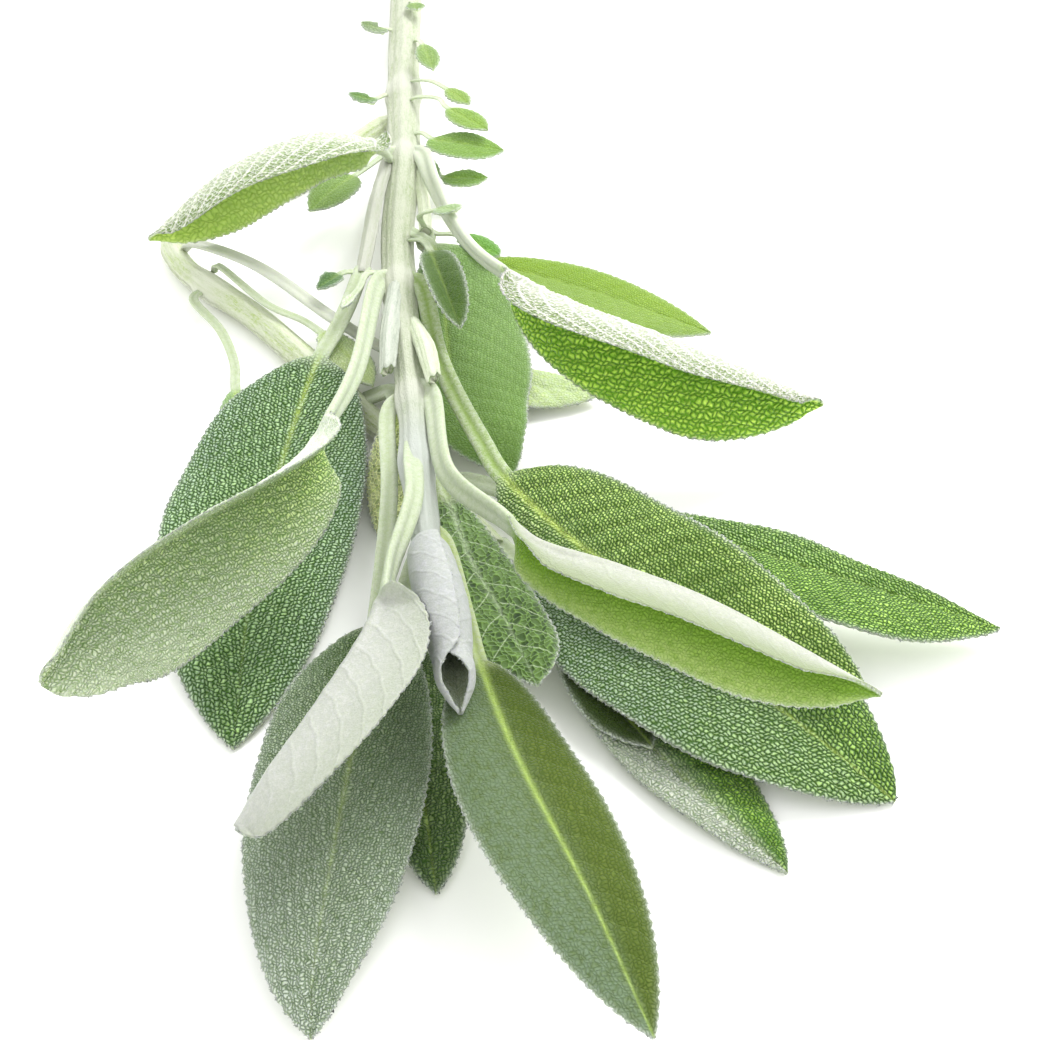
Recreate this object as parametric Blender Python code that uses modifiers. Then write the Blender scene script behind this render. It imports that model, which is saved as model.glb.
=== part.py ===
"""A cut sprig of garden sage, lying on a table.

The cut end of the main stem points to +Y and the growing tip to -Y. The origin is the middle
of the sprig's box, on the table. Every leaf, leaflet, stem and shoot is an object of its own.
"""

import math

import bmesh
import bpy
import numpy as np

MM = 0.001
SPRIG = "sage_sprig"

# Driving dimensions, in millimetres and degrees.
LEAF_THICK = 0.8  # the blade of a full-grown leaf
LEAFLET_THICK = 0.6  # the blade of a small young leaf
STALK_THICK = 1.5  # the leaf stalk, from its lower to its upper side
STALK_HALF = 1.3  # half the width of a leaf stalk
LEAFLET_STALK_THICK = 1.0
LEAFLET_STALK_HALF = 0.5
FOLD_HALF = 4.0  # a half narrower than this folds less, down to flat at no width
TIP_HALF = 0.35  # half the width left at the very tip of a blade
STALK_ROWS = 6  # rows of faces along a stalk
BLADE_ROWS = 10  # rows of faces along a blade
HALF_COLUMNS = 2  # columns of faces between the midrib and a margin
STEM_SIDES = 2  # bevel resolution of a stem: eight sides
STEM_STEP = 7  # length of stem between two of its rings
SPAN_STEPS = 40  # points on a smooth curve between two of a route's own

# Colours are linear RGB, and the number after them is the roughness.
GREEN = (0.16, 0.28, 0.07), 0.72
DEEP_GREEN = (0.07, 0.16, 0.05), 0.75
GREY_GREEN = (0.24, 0.33, 0.21), 0.85
WHITE_DOWN = (0.62, 0.68, 0.54), 0.9
YOUNG_GREEN = (0.30, 0.45, 0.10), 0.65
STEM_GREEN = (0.50, 0.58, 0.36), 0.8

# Each leaf: its colour, the length of its blade, the two halves and its route.
# A half is (widest width, rise at the midrib, further bend out to the margin, where it is widest
# as a share of the blade), looking from the stem to the tip with the upper side up. The route
# runs from the stem to the tip, and each of its points is (x, y, z, turn), where a positive turn
# raises the right half.
LEAVES = {
    "leaf_upper_left": dict(
        finish=GREY_GREEN,
        blade=42,
        left=(8.5, 58, -10, 0.65),
        right=(11.5, 62, -10, 0.4),
        route=[
            (-23.3, 42, 8, 60),
            (-23.5, 38, 12, 90),
            (-26, 34, 15, 112),
            (-34, 29, 19, 112),
            (-46, 24, 16, 112),
            (-57, 19, 8, 112),
        ],
    ),
    "leaf_upper_right": dict(
        finish=GREEN,
        blade=48,
        left=(12, 60, -10, 0.42),
        right=(11.5, 58, -10, 0.62),
        route=[
            (-18.1, 42.5, 7.7, -30),
            (-16, 31, 10, -60),
            (-12, 13, 14, -90),
            (-7, 0, 17, -106),
            (2, -11, 19, -106),
            (19, -16, 15, -106),
            (37, -19, 8, -106),
        ],
    ),
    "leaf_big_left": dict(
        finish=GREY_GREEN,
        blade=51,
        left=(12.5, 55, -10, 0.62),
        right=(12, 45, -10, 0.42),
        tip=0.62,
        route=[
            (-23, 4.5, 10, 40),
            (-24, -18, 14, 60),
            (-26, -35, 19, 90),
            (-29.5, -47, 21, 100),
            (-42, -62, 23, 100),
            (-50, -73, 23, 100),
            (-53.5, -82, 21, 100),
        ],
    ),
    "leaf_right_middle": dict(
        finish=DEEP_GREEN,
        blade=53,
        left=(10, 15, -10, 0.42),
        right=(7, 5, -60, 0.55),
        route=[
            (-16.5, 4.5, 9.6, -20),
            (-13.6, -12, 9.5, -20),
            (-8, -30, 11, -20),
            (-4, -40, 12, -20),
            (6, -53, 12, -20),
            (18, -61, 10.8, -20),
            (36, -70, 8.4, -20),
        ],
    ),
    "leaf_right_folded": dict(
        finish=GREEN,
        blade=48,
        left=(10, 62, -10, 0.42),
        right=(10.5, 58, -10, 0.62),
        route=[
            (-14.4, -23, 12, -40),
            (-12, -41, 15, -60),
            (-5, -55, 20, -90),
            (-1, -62, 22, -106),
            (8, -68, 24, -106),
            (19, -72, 22, -106),
            (36, -79, 16, -106),
        ],
    ),
    "leaf_front_left": dict(
        finish=GREY_GREEN,
        blade=53,
        left=(9, 8, -15, 0.42),
        right=(10.5, 8, -15, 0.45),
        route=[
            (-20.2, -23, 9.4, 0),
            (-19.3, -39, 9, 0),
            (-20, -62, 8, 0),
            (-22, -84, 7, 0),
            (-24, -104, 4, 0),
            (-24, -113, 2, 0),
        ],
    ),
    "leaf_front_white": dict(
        finish=WHITE_DOWN,
        blade=34,
        left=(7.5, 60, -10, 0.5),
        right=(8.5, 60, -10, 0.4),
        route=[
            (-18.6, -36, 12.5, 20),
            (-17.5, -57, 16, 60),
            (-19, -70, 18, 106),
            (-24, -82, 18, 106),
            (-29, -90, 16, 106),
            (-32.5, -94, 12, 106),
        ],
    ),
    "leaf_netted_middle": dict(
        finish=GREEN,
        blade=32,
        left=(5.2, 8, -15, 0.75),
        right=(7, 8, -15, 0.5),
        route=[
            (-13.4, -34.5, 9.5, 0),
            (-12.5, -37, 9, 0),
            (-9, -49, 8, 0),
            (-5, -58, 7.2, 0),
            (-1, -69, 7, 0),
        ],
    ),
    "leaf_front": dict(
        finish=DEEP_GREEN,
        blade=49,
        left=(6.5, 8, -20, 0.5),
        right=(8, 8, -20, 0.42),
        route=[
            (-11.6, -51, 12, 0),
            (-9, -64, 13, 0),
            (-7, -74, 14, 0),
            (-3, -87, 14, 0),
            (4, -103, 12, 0),
            (10, -117, 8, 0),
        ],
    ),
    "leaf_lower_left": dict(
        finish=DEEP_GREEN,
        blade=67,
        left=(12, 8, -15, 0.45),
        right=(13, 8, -15, 0.45),
        route=[
            (-25.8, 9.4, 8.4, 0),
            (-27, 3, 8, 0),
            (-28.5, -2, 7.2, 0),
            (-31, -9, 5.8, 0),
            (-34, -26, 4, 0),
            (-36, -45, 3, 0),
            (-36, -73, 0.6, 0),
        ],
    ),
    "leaf_inner_right": dict(
        finish=GREEN,
        blade=46,
        left=(11.3, 8, -15, 0.5),
        right=(6.5, 8, -15, 0.6),
        route=[
            (-15.3, 15, 9.2, 0),
            (-13.8, 10, 6.6, 0),
            (-13.4, 2.5, 5, 0),
            (-11.8, -11.5, 3.8, 0),
            (-8.2, -20, 3.2, 0),
            (-4, -26.5, 2, 0),
        ],
    ),
    "leaf_back_right": dict(
        finish=YOUNG_GREEN,
        blade=35,
        left=(5, 8, -15, 0.42),
        right=(8, 8, -15, 0.42),
        route=[
            (-16, 19.2, 6.4, 0),
            (-8, 17.8, 4.8, 0),
            (8, 11.2, 4.2, 0),
            (24, 3.6, 2.6, 0),
        ],
    ),
    "leaf_far_right": dict(
        finish=GREEN,
        blade=52,
        left=(4.4, 15, -15, 0.42),
        right=(9, 15, -15, 0.6),
        route=[
            (-9, -30, 4, 0),
            (7, -38, 5, 0),
            (23, -45, 6.5, 0),
            (37, -51.5, 6.5, 0),
            (55, -55, 2, 0),
        ],
    ),
    "leaf_low_right": dict(
        finish=GREY_GREEN,
        blade=54,
        left=(10, 8, -15, 0.7),
        right=(13.5, 8, -15, 0.45),
        route=[
            (-4.5, -41.7, 2.2, 0),
            (-2.5, -44.5, 3, 0),
            (11, -56, 5, 0),
            (26, -70, 4.6, 0),
            (39, -81, 0.6, 0),
        ],
    ),
    "leaf_low_front_right": dict(
        finish=GREY_GREEN,
        blade=44,
        left=(8, 8, -15, 0.5),
        right=(4.2, 8, -15, 0.5),
        route=[
            (-7.7, -42.4, 1.5, 0),
            (-4, -48.5, 1.6, 0),
            (2, -56.5, 1.6, 0),
            (11, -72.5, 1.8, 0),
            (26, -91, 0.6, 0),
        ],
    ),
    "leaf_low_small": dict(
        finish=DEEP_GREEN,
        blade=17,
        left=(3.5, 8, -15, 0.5),
        right=(4, 8, -15, 0.5),
        route=[
            (0.5, -55.5, 2.9, 0),
            (4.5, -63, 3.4, 0),
            (12, -75, 3.1, 0),
        ],
    ),
    "leaf_narrow_front": dict(
        finish=DEEP_GREEN,
        blade=38,
        left=(5, 8, -15, 0.65),
        right=(5, 8, -15, 0.6),
        route=[
            (-17, -53, 3, 0),
            (-14.5, -76, 3, 0),
            (-12, -94, 1, 0),
        ],
    ),
    "leaf_behind_stem": dict(
        finish=GREEN,
        blade=23,
        left=(4, 8, -15, 0.5),
        right=(3, 8, -15, 0.5),
        route=[
            (-19.7, -13, 4.8, 0),
            (-20, -26, 3.4, 0),
            (-20.3, -39, 1, 0),
        ],
    ),
    "leaf_rolled_tip": dict(
        finish=WHITE_DOWN,
        blade=23,
        left=(7.5, 20, 120, 0.5),
        right=(6.5, 20, 110, 0.5),
        tip=0.5,
        route=[
            (-13.4, -55.6, 12.6, 0),
            (-12.8, -60, 13.6, 0),
            (-11, -70, 15, 0),
            (-9.4, -81, 15.4, 0),
        ],
    ),
    "leaf_striped": dict(
        finish=YOUNG_GREEN,
        blade=24,
        left=(4.5, 8, -15, 0.5),
        right=(5, 8, -15, 0.5),
        route=[
            (-51, 22, 5.4, 0),
            (-44, 16, 7.2, 0),
            (-38, 11, 7.2, 0),
            (-29, 3, 5.6, 0),
            (-20, -2, 3.1, 0),
            (-9, -6, 2, 0),
            (8, -9, 1.5, 0),
        ],
    ),
    "leaf_bright": dict(
        finish=YOUNG_GREEN,
        blade=14,
        left=(3, 8, -15, 0.5),
        right=(3, 8, -15, 0.5),
        route=[
            (-46.5, 16, 5.4, 0),
            (-39, 7, 5.3, 0),
            (-33, 3, 5, 0),
            (-28, -3, 4.9, 0),
            (-23, -11, 4.8, 0),
        ],
    ),
    "leaf_under": dict(
        finish=GREEN,
        blade=19,
        left=(3.5, 8, -15, 0.5),
        right=(3.5, 8, -15, 0.5),
        route=[
            (-50, 10.8, 3.2, 0),
            (-45.5, 4, 3, 0),
            (-43, -2, 1.7, 0),
            (-42, -9, 1, 0),
            (-38, -26, 0.7, 0),
        ],
    ),
}

# The small young leaves in the axils and along the bare end of the stem, in the same form.
LEAFLETS = {
    "leaflet_shoot_left": dict(
        finish=DEEP_GREEN,
        blade=4,
        left=(1.8, 30, -10, 0.4),
        right=(1.8, 30, -10, 0.4),
        route=[(-27.8, 9.6, 9, 0), (-29.3, 7.5, 9.3, 0), (-31.5, 6, 8.6, 0)],
    ),
    "leaflet_white_stalk": dict(
        finish=WHITE_DOWN,
        blade=3,
        left=(0.8, 8, -15, 0.4),
        right=(0.8, 8, -15, 0.4),
        route=[(-24.4, 7, 10.6, 0), (-25.4, 3, 10.8, 0), (-27.5, -1, 10.4, 0)],
    ),
    "leaflet_flag": dict(
        finish=YOUNG_GREEN,
        blade=5,
        left=(2, 8, -15, 0.6),
        right=(2, 8, -15, 0.6),
        tip=0.4,
        route=[(-17.4, 19.5, 12, 0), (-14.5, 17, 14.6, 0), (-12, 14, 16.4, 0)],
    ),
    "leaflet_behind": dict(
        finish=YOUNG_GREEN,
        blade=8,
        left=(2.2, 8, -15, 0.5),
        right=(2.2, 8, -15, 0.5),
        tip=0.5,
        route=[(-15.2, 21.5, 7.4, 0), (-12, 19, 8.8, 0), (-6, 13.5, 9, 0)],
    ),
    "leaflet_folded": dict(
        finish=DEEP_GREEN,
        blade=20,
        left=(3.5, 50, -10, 0.5),
        right=(3, 50, -10, 0.5),
        route=[(-16.5, 14, 11, 0), (-14.3, 4, 13, 0), (-11, -9, 13, 0)],
    ),
    "leaflet_left": dict(
        finish=GREEN,
        blade=11,
        left=(3.5, 8, -15, 0.5),
        right=(3.5, 8, -15, 0.5),
        route=[(-24.2, 46, 5.5, 0), (-27, 41, 6, 0), (-31, 34, 7, 0), (-34.5, 29.5, 6, 0)],
    ),
    "leaflet_right": dict(
        finish=YOUNG_GREEN,
        blade=12,
        left=(2.5, 8, -15, 0.5),
        right=(3.5, 8, -15, 0.5),
        route=[(-18.4, 50, 7, 0), (-16, 45.5, 8.4, 0), (-11, 43.5, 8.8, 0), (-5.5, 43, 8, 0)],
    ),
    "leaflet_right_low": dict(
        finish=YOUNG_GREEN,
        blade=7,
        left=(2.5, 8, -15, 0.5),
        right=(2.5, 8, -15, 0.5),
        route=[(-18.2, 44.5, 4.4, 0), (-15, 41, 4.6, 0), (-11, 40, 5, 0), (-8, 40, 5, 0)],
    ),
    "leaflet_right_upper": dict(
        finish=YOUNG_GREEN,
        blade=9,
        left=(2.5, 8, -15, 0.5),
        right=(2.5, 8, -15, 0.5),
        route=[(-19.3, 60, 7.5, 0), (-16, 57, 9, 0), (-14, 51, 10.6, 0), (-8, 44.5, 10.8, 0)],
    ),
    "leaflet_hook": dict(
        finish=YOUNG_GREEN,
        blade=6,
        left=(1.8, 8, -15, 0.5),
        right=(1.8, 8, -15, 0.5),
        route=[(-20.2, 66, 7, 0), (-16.5, 61, 9.5, 0), (-11, 53.5, 10, 0)],
    ),
    "leaflet_upper": dict(
        finish=GREEN,
        blade=9,
        left=(2, 8, -15, 0.5),
        right=(2, 8, -15, 0.5),
        route=[(-20.2, 81, 6, 0), (-19, 74, 9, 0), (-17, 65, 9.5, 0)],
    ),
    "leaflet_upper_left": dict(
        finish=GREEN,
        blade=5,
        left=(1.5, 8, -15, 0.5),
        right=(1.5, 8, -15, 0.5),
        route=[(-25, 64, 5.5, 0), (-27, 60, 7, 0), (-30.5, 61, 7.5, 0)],
    ),
    "leaflet_top_left": dict(
        finish=GREEN,
        blade=5,
        left=(1.8, 8, -15, 0.5),
        right=(1.8, 8, -15, 0.5),
        route=[(-25.6, 86.5, 5, 0), (-27.2, 84.8, 6, 0), (-30, 86, 6.5, 0)],
    ),
    "leaflet_top_right": dict(
        finish=GREEN,
        blade=4,
        left=(1.8, 8, -15, 0.5),
        right=(1.8, 8, -15, 0.5),
        route=[(-21.6, 94, 6.2, 0), (-20.5, 88.5, 7.5, 0)],
    ),
    "leaflet_axil": dict(
        finish=GREEN,
        blade=8,
        left=(1.2, 8, -15, 0.5),
        right=(1.2, 8, -15, 0.5),
        route=[(-18.3, 47, 5.6, 0), (-17, 43, 5.8, 0), (-15.5, 37.5, 5.6, 0)],
    ),
}

# A stem or shoot: its colour, and its route of (x, y, z, radius).
STEMS = {
    "main_stem": dict(
        finish=STEM_GREEN,
        route=[
            (-23, 117.3, 2.6, 2.5),
            (-23, 99, 3.2, 2.5),
            (-22, 65, 4.2, 2.4),
            (-21, 44, 5.2, 2.4),
            (-21, 24, 6.6, 2.3),
            (-20, 7, 8, 2.2),
            (-17, -21, 10, 1.8),
            (-16, -34, 11, 1.6),
            (-14.5, -48, 12, 1.3),
            (-13.8, -53.5, 12.4, 1.1),
        ],
    ),
    "side_branch": dict(
        finish=STEM_GREEN,
        route=[
            (-26.6, 58, 2.3, 1.9),
            (-37, 45, 2.0, 1.9),
            (-49, 36, 2.0, 1.95),
            (-55, 28, 2.1, 2.0),
            (-53, 21, 2.2, 2.1),
            (-48, 15, 2.2, 2.1),
            (-40, 7, 2.15, 2.1),
            (-30, -6, 2.0, 1.9),
            (-22, -16, 1.8, 1.7),
            (-19, -20, 1.7, 1.6),
            (-12, -31, 1.6, 1.5),
            (-6, -40, 1.5, 1.4),
        ],
    ),
    "shoot_left": dict(
        finish=STEM_GREEN,
        route=[
            (-24.5, 40, 7, 0.9),
            (-24.6, 29, 7.5, 1.0),
            (-25, 19, 8, 1.0),
            (-25.5, 10, 8, 0.9),
        ],
    ),
    "shoot_right": dict(
        finish=STEM_GREEN,
        route=[
            (-17.7, 38, 6, 0.9),
            (-17.3, 29, 7, 0.9),
            (-16.8, 21, 8, 0.9),
        ],
    ),
    "stub_left": dict(
        finish=WHITE_DOWN,
        route=[
            (-20.5, 3, 11.2, 0.9),
            (-20.5, -7, 11.5, 0.9),
            (-20, -18, 12.5, 0.8),
        ],
    ),
    "stub_right": dict(
        finish=STEM_GREEN,
        route=[
            (-16.5, -5.5, 11.4, 0.8),
            (-15.5, -12, 12.6, 0.9),
            (-14, -20.5, 13.4, 0.8),
        ],
    ),
}


def new_material(name, finish):
    colour, roughness = finish
    material = bpy.data.materials.new(name)
    material.use_nodes = True
    shader = material.node_tree.nodes["Principled BSDF"]
    shader.inputs["Base Color"].default_value = (*colour, 1.0)
    shader.inputs["Roughness"].default_value = roughness
    shader.inputs["Metallic"].default_value = 0.0
    return material


def through(points, places):
    """The points of a smooth curve at these shares of its length, and its length."""
    points = np.array(points, float)
    padded = np.vstack([2 * points[0] - points[1], points, 2 * points[-1] - points[-2]])
    t = np.linspace(0, 1, SPAN_STEPS, endpoint=False)[:, None]
    spans = []
    for before, start, end, after in zip(padded, padded[1:], padded[2:], padded[3:]):
        leaving, arriving = (end - before) / 2, (after - start) / 2
        square = 3 * (end - start) - 2 * leaving - arriving
        cube = 2 * (start - end) + leaving + arriving
        spans.append(start + t * (leaving + t * (square + t * cube)))
    fine = np.vstack([*spans, points[-1:]])
    steps = np.linalg.norm(np.diff(fine[:, :3], axis=0), axis=1)
    run = np.concatenate([[0], np.cumsum(steps)])
    at = np.asarray(places) * run[-1]
    return np.stack([np.interp(at, run, column) for column in fine.T], axis=1), run[-1]


def outline(u, widest, tip):
    """Half the width of a blade at u from its base to its tip, as a share of the widest."""
    base = np.sqrt(np.clip(1 - (1 - u / widest) ** 2, 0, 1))
    end = np.clip(1 - np.clip((u - widest) / (1 - widest), 0, 1) ** 2, 0, 1) ** tip
    return np.where(u < widest, base, end)


def blade_point(centre, side, up, width, rise, bend, share):
    """The point at a share of the way from the midrib to the margin of a bent half."""
    rise, bend = math.radians(rise), math.radians(bend) or 1e-6
    across = (math.sin(rise + bend * share) - math.sin(rise)) / bend
    lift = (math.cos(rise) - math.cos(rise + bend * share)) / bend
    return centre + width * (across * side + lift * up)


def leaf_frames(route, places):
    """The centre, rightward and upward directions at these shares of a leaf's length."""
    rows, _ = through(route, places)
    ahead, _ = through(route, np.clip(places + 0.01, 0, 1))
    behind, _ = through(route, np.clip(places - 0.01, 0, 1))
    frames = []
    for row, forward in zip(rows, (ahead - behind)[:, :3]):
        along = forward / np.linalg.norm(forward)
        side = np.cross(along, (0, 0, 1))
        side /= np.linalg.norm(side)
        up = np.cross(side, along)
        turn = math.radians(row[3])
        right = math.cos(turn) * side + math.sin(turn) * up
        upward = math.cos(turn) * up - math.sin(turn) * side
        frames.append((row[:3], right, upward))
    return frames


def add_leaf(
    name,
    finish,
    blade,
    left,
    right,
    route,
    tip=0.8,
    thick=LEAF_THICK,
    stalk_half=STALK_HALF,
    stalk_thick=STALK_THICK,
):
    """A leaf with its stalk: a sheet along the route, bent about its midrib and made solid."""
    _, length = through(route, [0, 1])
    stalk = max(0.0, 1 - blade / length)
    stalk_places = np.linspace(0, stalk, STALK_ROWS + 1)[:-1] if stalk > 0 else []
    eased = 0.5 - 0.5 * np.cos(np.linspace(0, math.pi, BLADE_ROWS + 1))
    places = np.concatenate([stalk_places, stalk + (1 - stalk) * eased])
    frames = leaf_frames(route, places)
    columns = 2 * HALF_COLUMNS + 1
    sheet = bmesh.new()
    bmesh.ops.create_grid(sheet, x_segments=columns - 1, y_segments=len(places) - 1, size=1)
    thickness = sheet.verts.layers.deform.verify()
    by_row = sorted(sheet.verts, key=lambda vert: (round(vert.co.y, 6), vert.co.x))
    for index, vert in enumerate(by_row):
        row, column = divmod(index, columns)
        centre, sideways, upward = frames[row]
        share = (column - HALF_COLUMNS) / HALF_COLUMNS
        most, rise, bend, widest = right if share > 0 else left
        u = (places[row] - stalk) / (1 - stalk)
        if u < 0:
            width, rise, bend = stalk_half, 0, 0
        else:
            narrowest = stalk_half * (1 - u) + TIP_HALF * u
            width = max(most * float(outline(u, widest, tip)), narrowest)
            fold = min(1.0, width / FOLD_HALF)
            rise, bend = rise * fold, bend * fold
        outward = math.copysign(1, share) * sideways
        vert.co = blade_point(centre, outward, upward, width, rise, bend, abs(share)) * MM
        vert[thickness][0] = (stalk_thick if u < 0 else thick) / STALK_THICK
    add_solid(name, sheet, finish)


def add_solid(name, sheet, finish):
    """Makes the sheet a closed solid, as thick as a stalk times each vertex's weight."""
    mesh = bpy.data.meshes.new(name)
    bmesh.ops.recalc_face_normals(sheet, faces=sheet.faces)
    sheet.to_mesh(mesh)
    sheet.free()
    leaf = bpy.data.objects.new(name, mesh)
    leaf.vertex_groups.new(name="thickness")
    solidify = leaf.modifiers.new("thickness", "SOLIDIFY")
    solidify.thickness = STALK_THICK * MM
    solidify.offset = 0
    solidify.vertex_group = "thickness"
    solidify.thickness_vertex_group = 0
    mesh.shade_smooth()
    mesh.materials.append(new_material(name, finish))
    parts.objects.link(leaf)


def add_stem(name, finish, route):
    """A round stem whose radius follows its route, closed at both ends."""
    _, length = through(route, [0, 1])
    points, _ = through(route, np.linspace(0, 1, max(4, round(length / STEM_STEP))))
    curve = bpy.data.curves.new(name, "CURVE")
    curve.dimensions = "3D"
    curve.bevel_depth = MM
    curve.bevel_resolution = STEM_SIDES
    curve.use_fill_caps = True
    line = curve.splines.new("POLY")
    line.points.add(len(points) - 1)
    for point, (x, y, z, radius) in zip(line.points, points):
        point.co = (x * MM, y * MM, z * MM, 1)
        point.radius = radius
    stem = bpy.data.objects.new(name, curve)
    curve.materials.append(new_material(name, finish))
    parts.objects.link(stem)


for old in list(bpy.data.objects):
    bpy.data.objects.remove(old)
parts = bpy.data.collections.new(SPRIG)
bpy.context.scene.collection.children.link(parts)

for part_name, values in STEMS.items():
    add_stem(part_name, **values)
for part_name, values in LEAVES.items():
    add_leaf(part_name, **values)
for part_name, values in LEAFLETS.items():
    small = dict(thick=LEAFLET_THICK, stalk_half=LEAFLET_STALK_HALF, stalk_thick=LEAFLET_STALK_THICK)
    add_leaf(part_name, **values, **small)
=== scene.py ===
"""The looks of a cut sprig of garden sage that lies on a pale table.

The cut end of the stem points to +Y and the growing tip to -Y. Everything is in metres in the
frame's own axes, and the tables of routes and widths are in millimetres and degrees.
"""

import math

import bmesh
import bpy
import numpy as np
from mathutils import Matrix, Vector


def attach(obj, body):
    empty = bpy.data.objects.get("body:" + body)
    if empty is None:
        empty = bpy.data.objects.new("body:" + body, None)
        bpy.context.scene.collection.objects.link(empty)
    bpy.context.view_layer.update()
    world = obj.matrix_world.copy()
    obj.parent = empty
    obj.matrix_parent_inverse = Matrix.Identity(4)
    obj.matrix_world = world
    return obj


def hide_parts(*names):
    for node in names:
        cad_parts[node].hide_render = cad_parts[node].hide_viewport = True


MM = 0.001
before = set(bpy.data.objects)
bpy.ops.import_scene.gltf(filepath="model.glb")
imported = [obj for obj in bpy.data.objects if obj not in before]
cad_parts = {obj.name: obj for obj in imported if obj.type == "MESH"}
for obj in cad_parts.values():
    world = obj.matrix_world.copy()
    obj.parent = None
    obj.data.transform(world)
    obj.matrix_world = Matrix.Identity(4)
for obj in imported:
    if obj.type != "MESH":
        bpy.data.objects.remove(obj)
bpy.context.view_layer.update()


# ---- Camera: level with the table's far edge, looking down at the sprig from its growing tip.
VIEW_TARGET = Vector((-3, -33, 0)) * MM
VIEW_DISTANCE = 270 * MM
VIEW_HEIGHT = math.radians(42)
VIEW_HALF_ANGLE = math.radians(14)

eye = bpy.data.cameras.new("camera")
eye.lens = eye.sensor_width / 2 / math.tan(VIEW_HALF_ANGLE)
eye.clip_start = 10 * MM
camera = bpy.data.objects.new("camera", eye)
camera.location = VIEW_TARGET + VIEW_DISTANCE * Vector((0, -math.cos(VIEW_HEIGHT), math.sin(VIEW_HEIGHT)))
camera.rotation_euler = (math.pi / 2 - VIEW_HEIGHT, 0, 0)
bpy.context.scene.collection.objects.link(camera)
bpy.context.scene.camera = camera
bpy.context.scene.view_settings.view_transform = "Standard"


# ---- Table and light: a bright white sweep, with one broad soft lamp behind the sprig to the
# right, so that soft shadows fall forward and to the left.
TABLE_HALF = 900 * MM
TABLE_WHITE = (0.97, 0.97, 0.965)
SKY_WHITE = (1.0, 1.0, 1.0)
SKY_STRENGTH = 1.5
LAMP_PLACE = Vector((260, 330, 520)) * MM
LAMP_SIZE = 380 * MM
LAMP_POWER = 4.2

top = bmesh.new()
bmesh.ops.create_grid(top, x_segments=1, y_segments=1, size=TABLE_HALF)
table_mesh = bpy.data.meshes.new("table")
top.to_mesh(table_mesh)
top.free()
table = bpy.data.objects.new("table", table_mesh)
bpy.context.scene.collection.objects.link(table)
table_finish = bpy.data.materials.new("table_white")
table_finish.use_nodes = True
table_shader = table_finish.node_tree.nodes["Principled BSDF"]
table_shader.inputs["Base Color"].default_value = (*TABLE_WHITE, 1)
table_shader.inputs["Roughness"].default_value = 0.9
table_shader.inputs["Specular IOR Level"].default_value = 0.1
table_mesh.materials.append(table_finish)

sky = bpy.data.worlds.new("sky")
sky.use_nodes = True
sky.node_tree.nodes["Background"].inputs["Color"].default_value = (*SKY_WHITE, 1)
sky.node_tree.nodes["Background"].inputs["Strength"].default_value = SKY_STRENGTH
bpy.context.scene.world = sky

lamp = bpy.data.lights.new("lamp", "AREA")
lamp.shape = "DISK"
lamp.size = LAMP_SIZE
lamp.energy = LAMP_POWER
lamp_holder = bpy.data.objects.new("lamp", lamp)
lamp_holder.location = LAMP_PLACE
lamp_holder.rotation_euler = (VIEW_TARGET - LAMP_PLACE).to_track_quat("-Z", "Y").to_euler()
bpy.context.scene.collection.objects.link(lamp_holder)


# ---- Stems: the square, downy stem of the sprig and the branch that leaves it behind the upper
# left leaf, with two thin shoots and two cut stubs. Four ribs run along each, it swells where
# leaves join it, and its cut end shows a green ring round pale pith.
# A route's points are (x, y, z, radius). Nodes are the places along Y where leaves join, pale is
# where the stem begins to turn white and where it is white, as -Y, and ragged is the depth of a
# torn end.
SPAN_STEPS = 160  # points on a smooth curve between two of a route's own
AIM_SHARE = 0.012  # share of a route before and after a point that gives its direction
STEM_ROUND = 56  # faces round a stem
FEWEST_ROWS = 6
CAP_SHARES = (0.0, 0.45, 0.8, 0.95)  # rings across a cut end, as shares of the radius
SQUARENESS = 0.07
RIB_DEPTH = 0.035
RIB_TWIST = 4.0
LUMP_HEIGHT = 0.02
NODE_SWELL = 0.2
NODE_LENGTH = 3.0
STREAK_LENGTH = 25.0
TABLE_GAP = 0.05
WELD_GAP = 0.002 * MM
WHITE_SKIN = (0.43, 0.46, 0.43, 1)
PITH = (0.48, 0.51, 0.38, 1)
PITH_RING = (0.28, 0.36, 0.19, 1)

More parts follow.
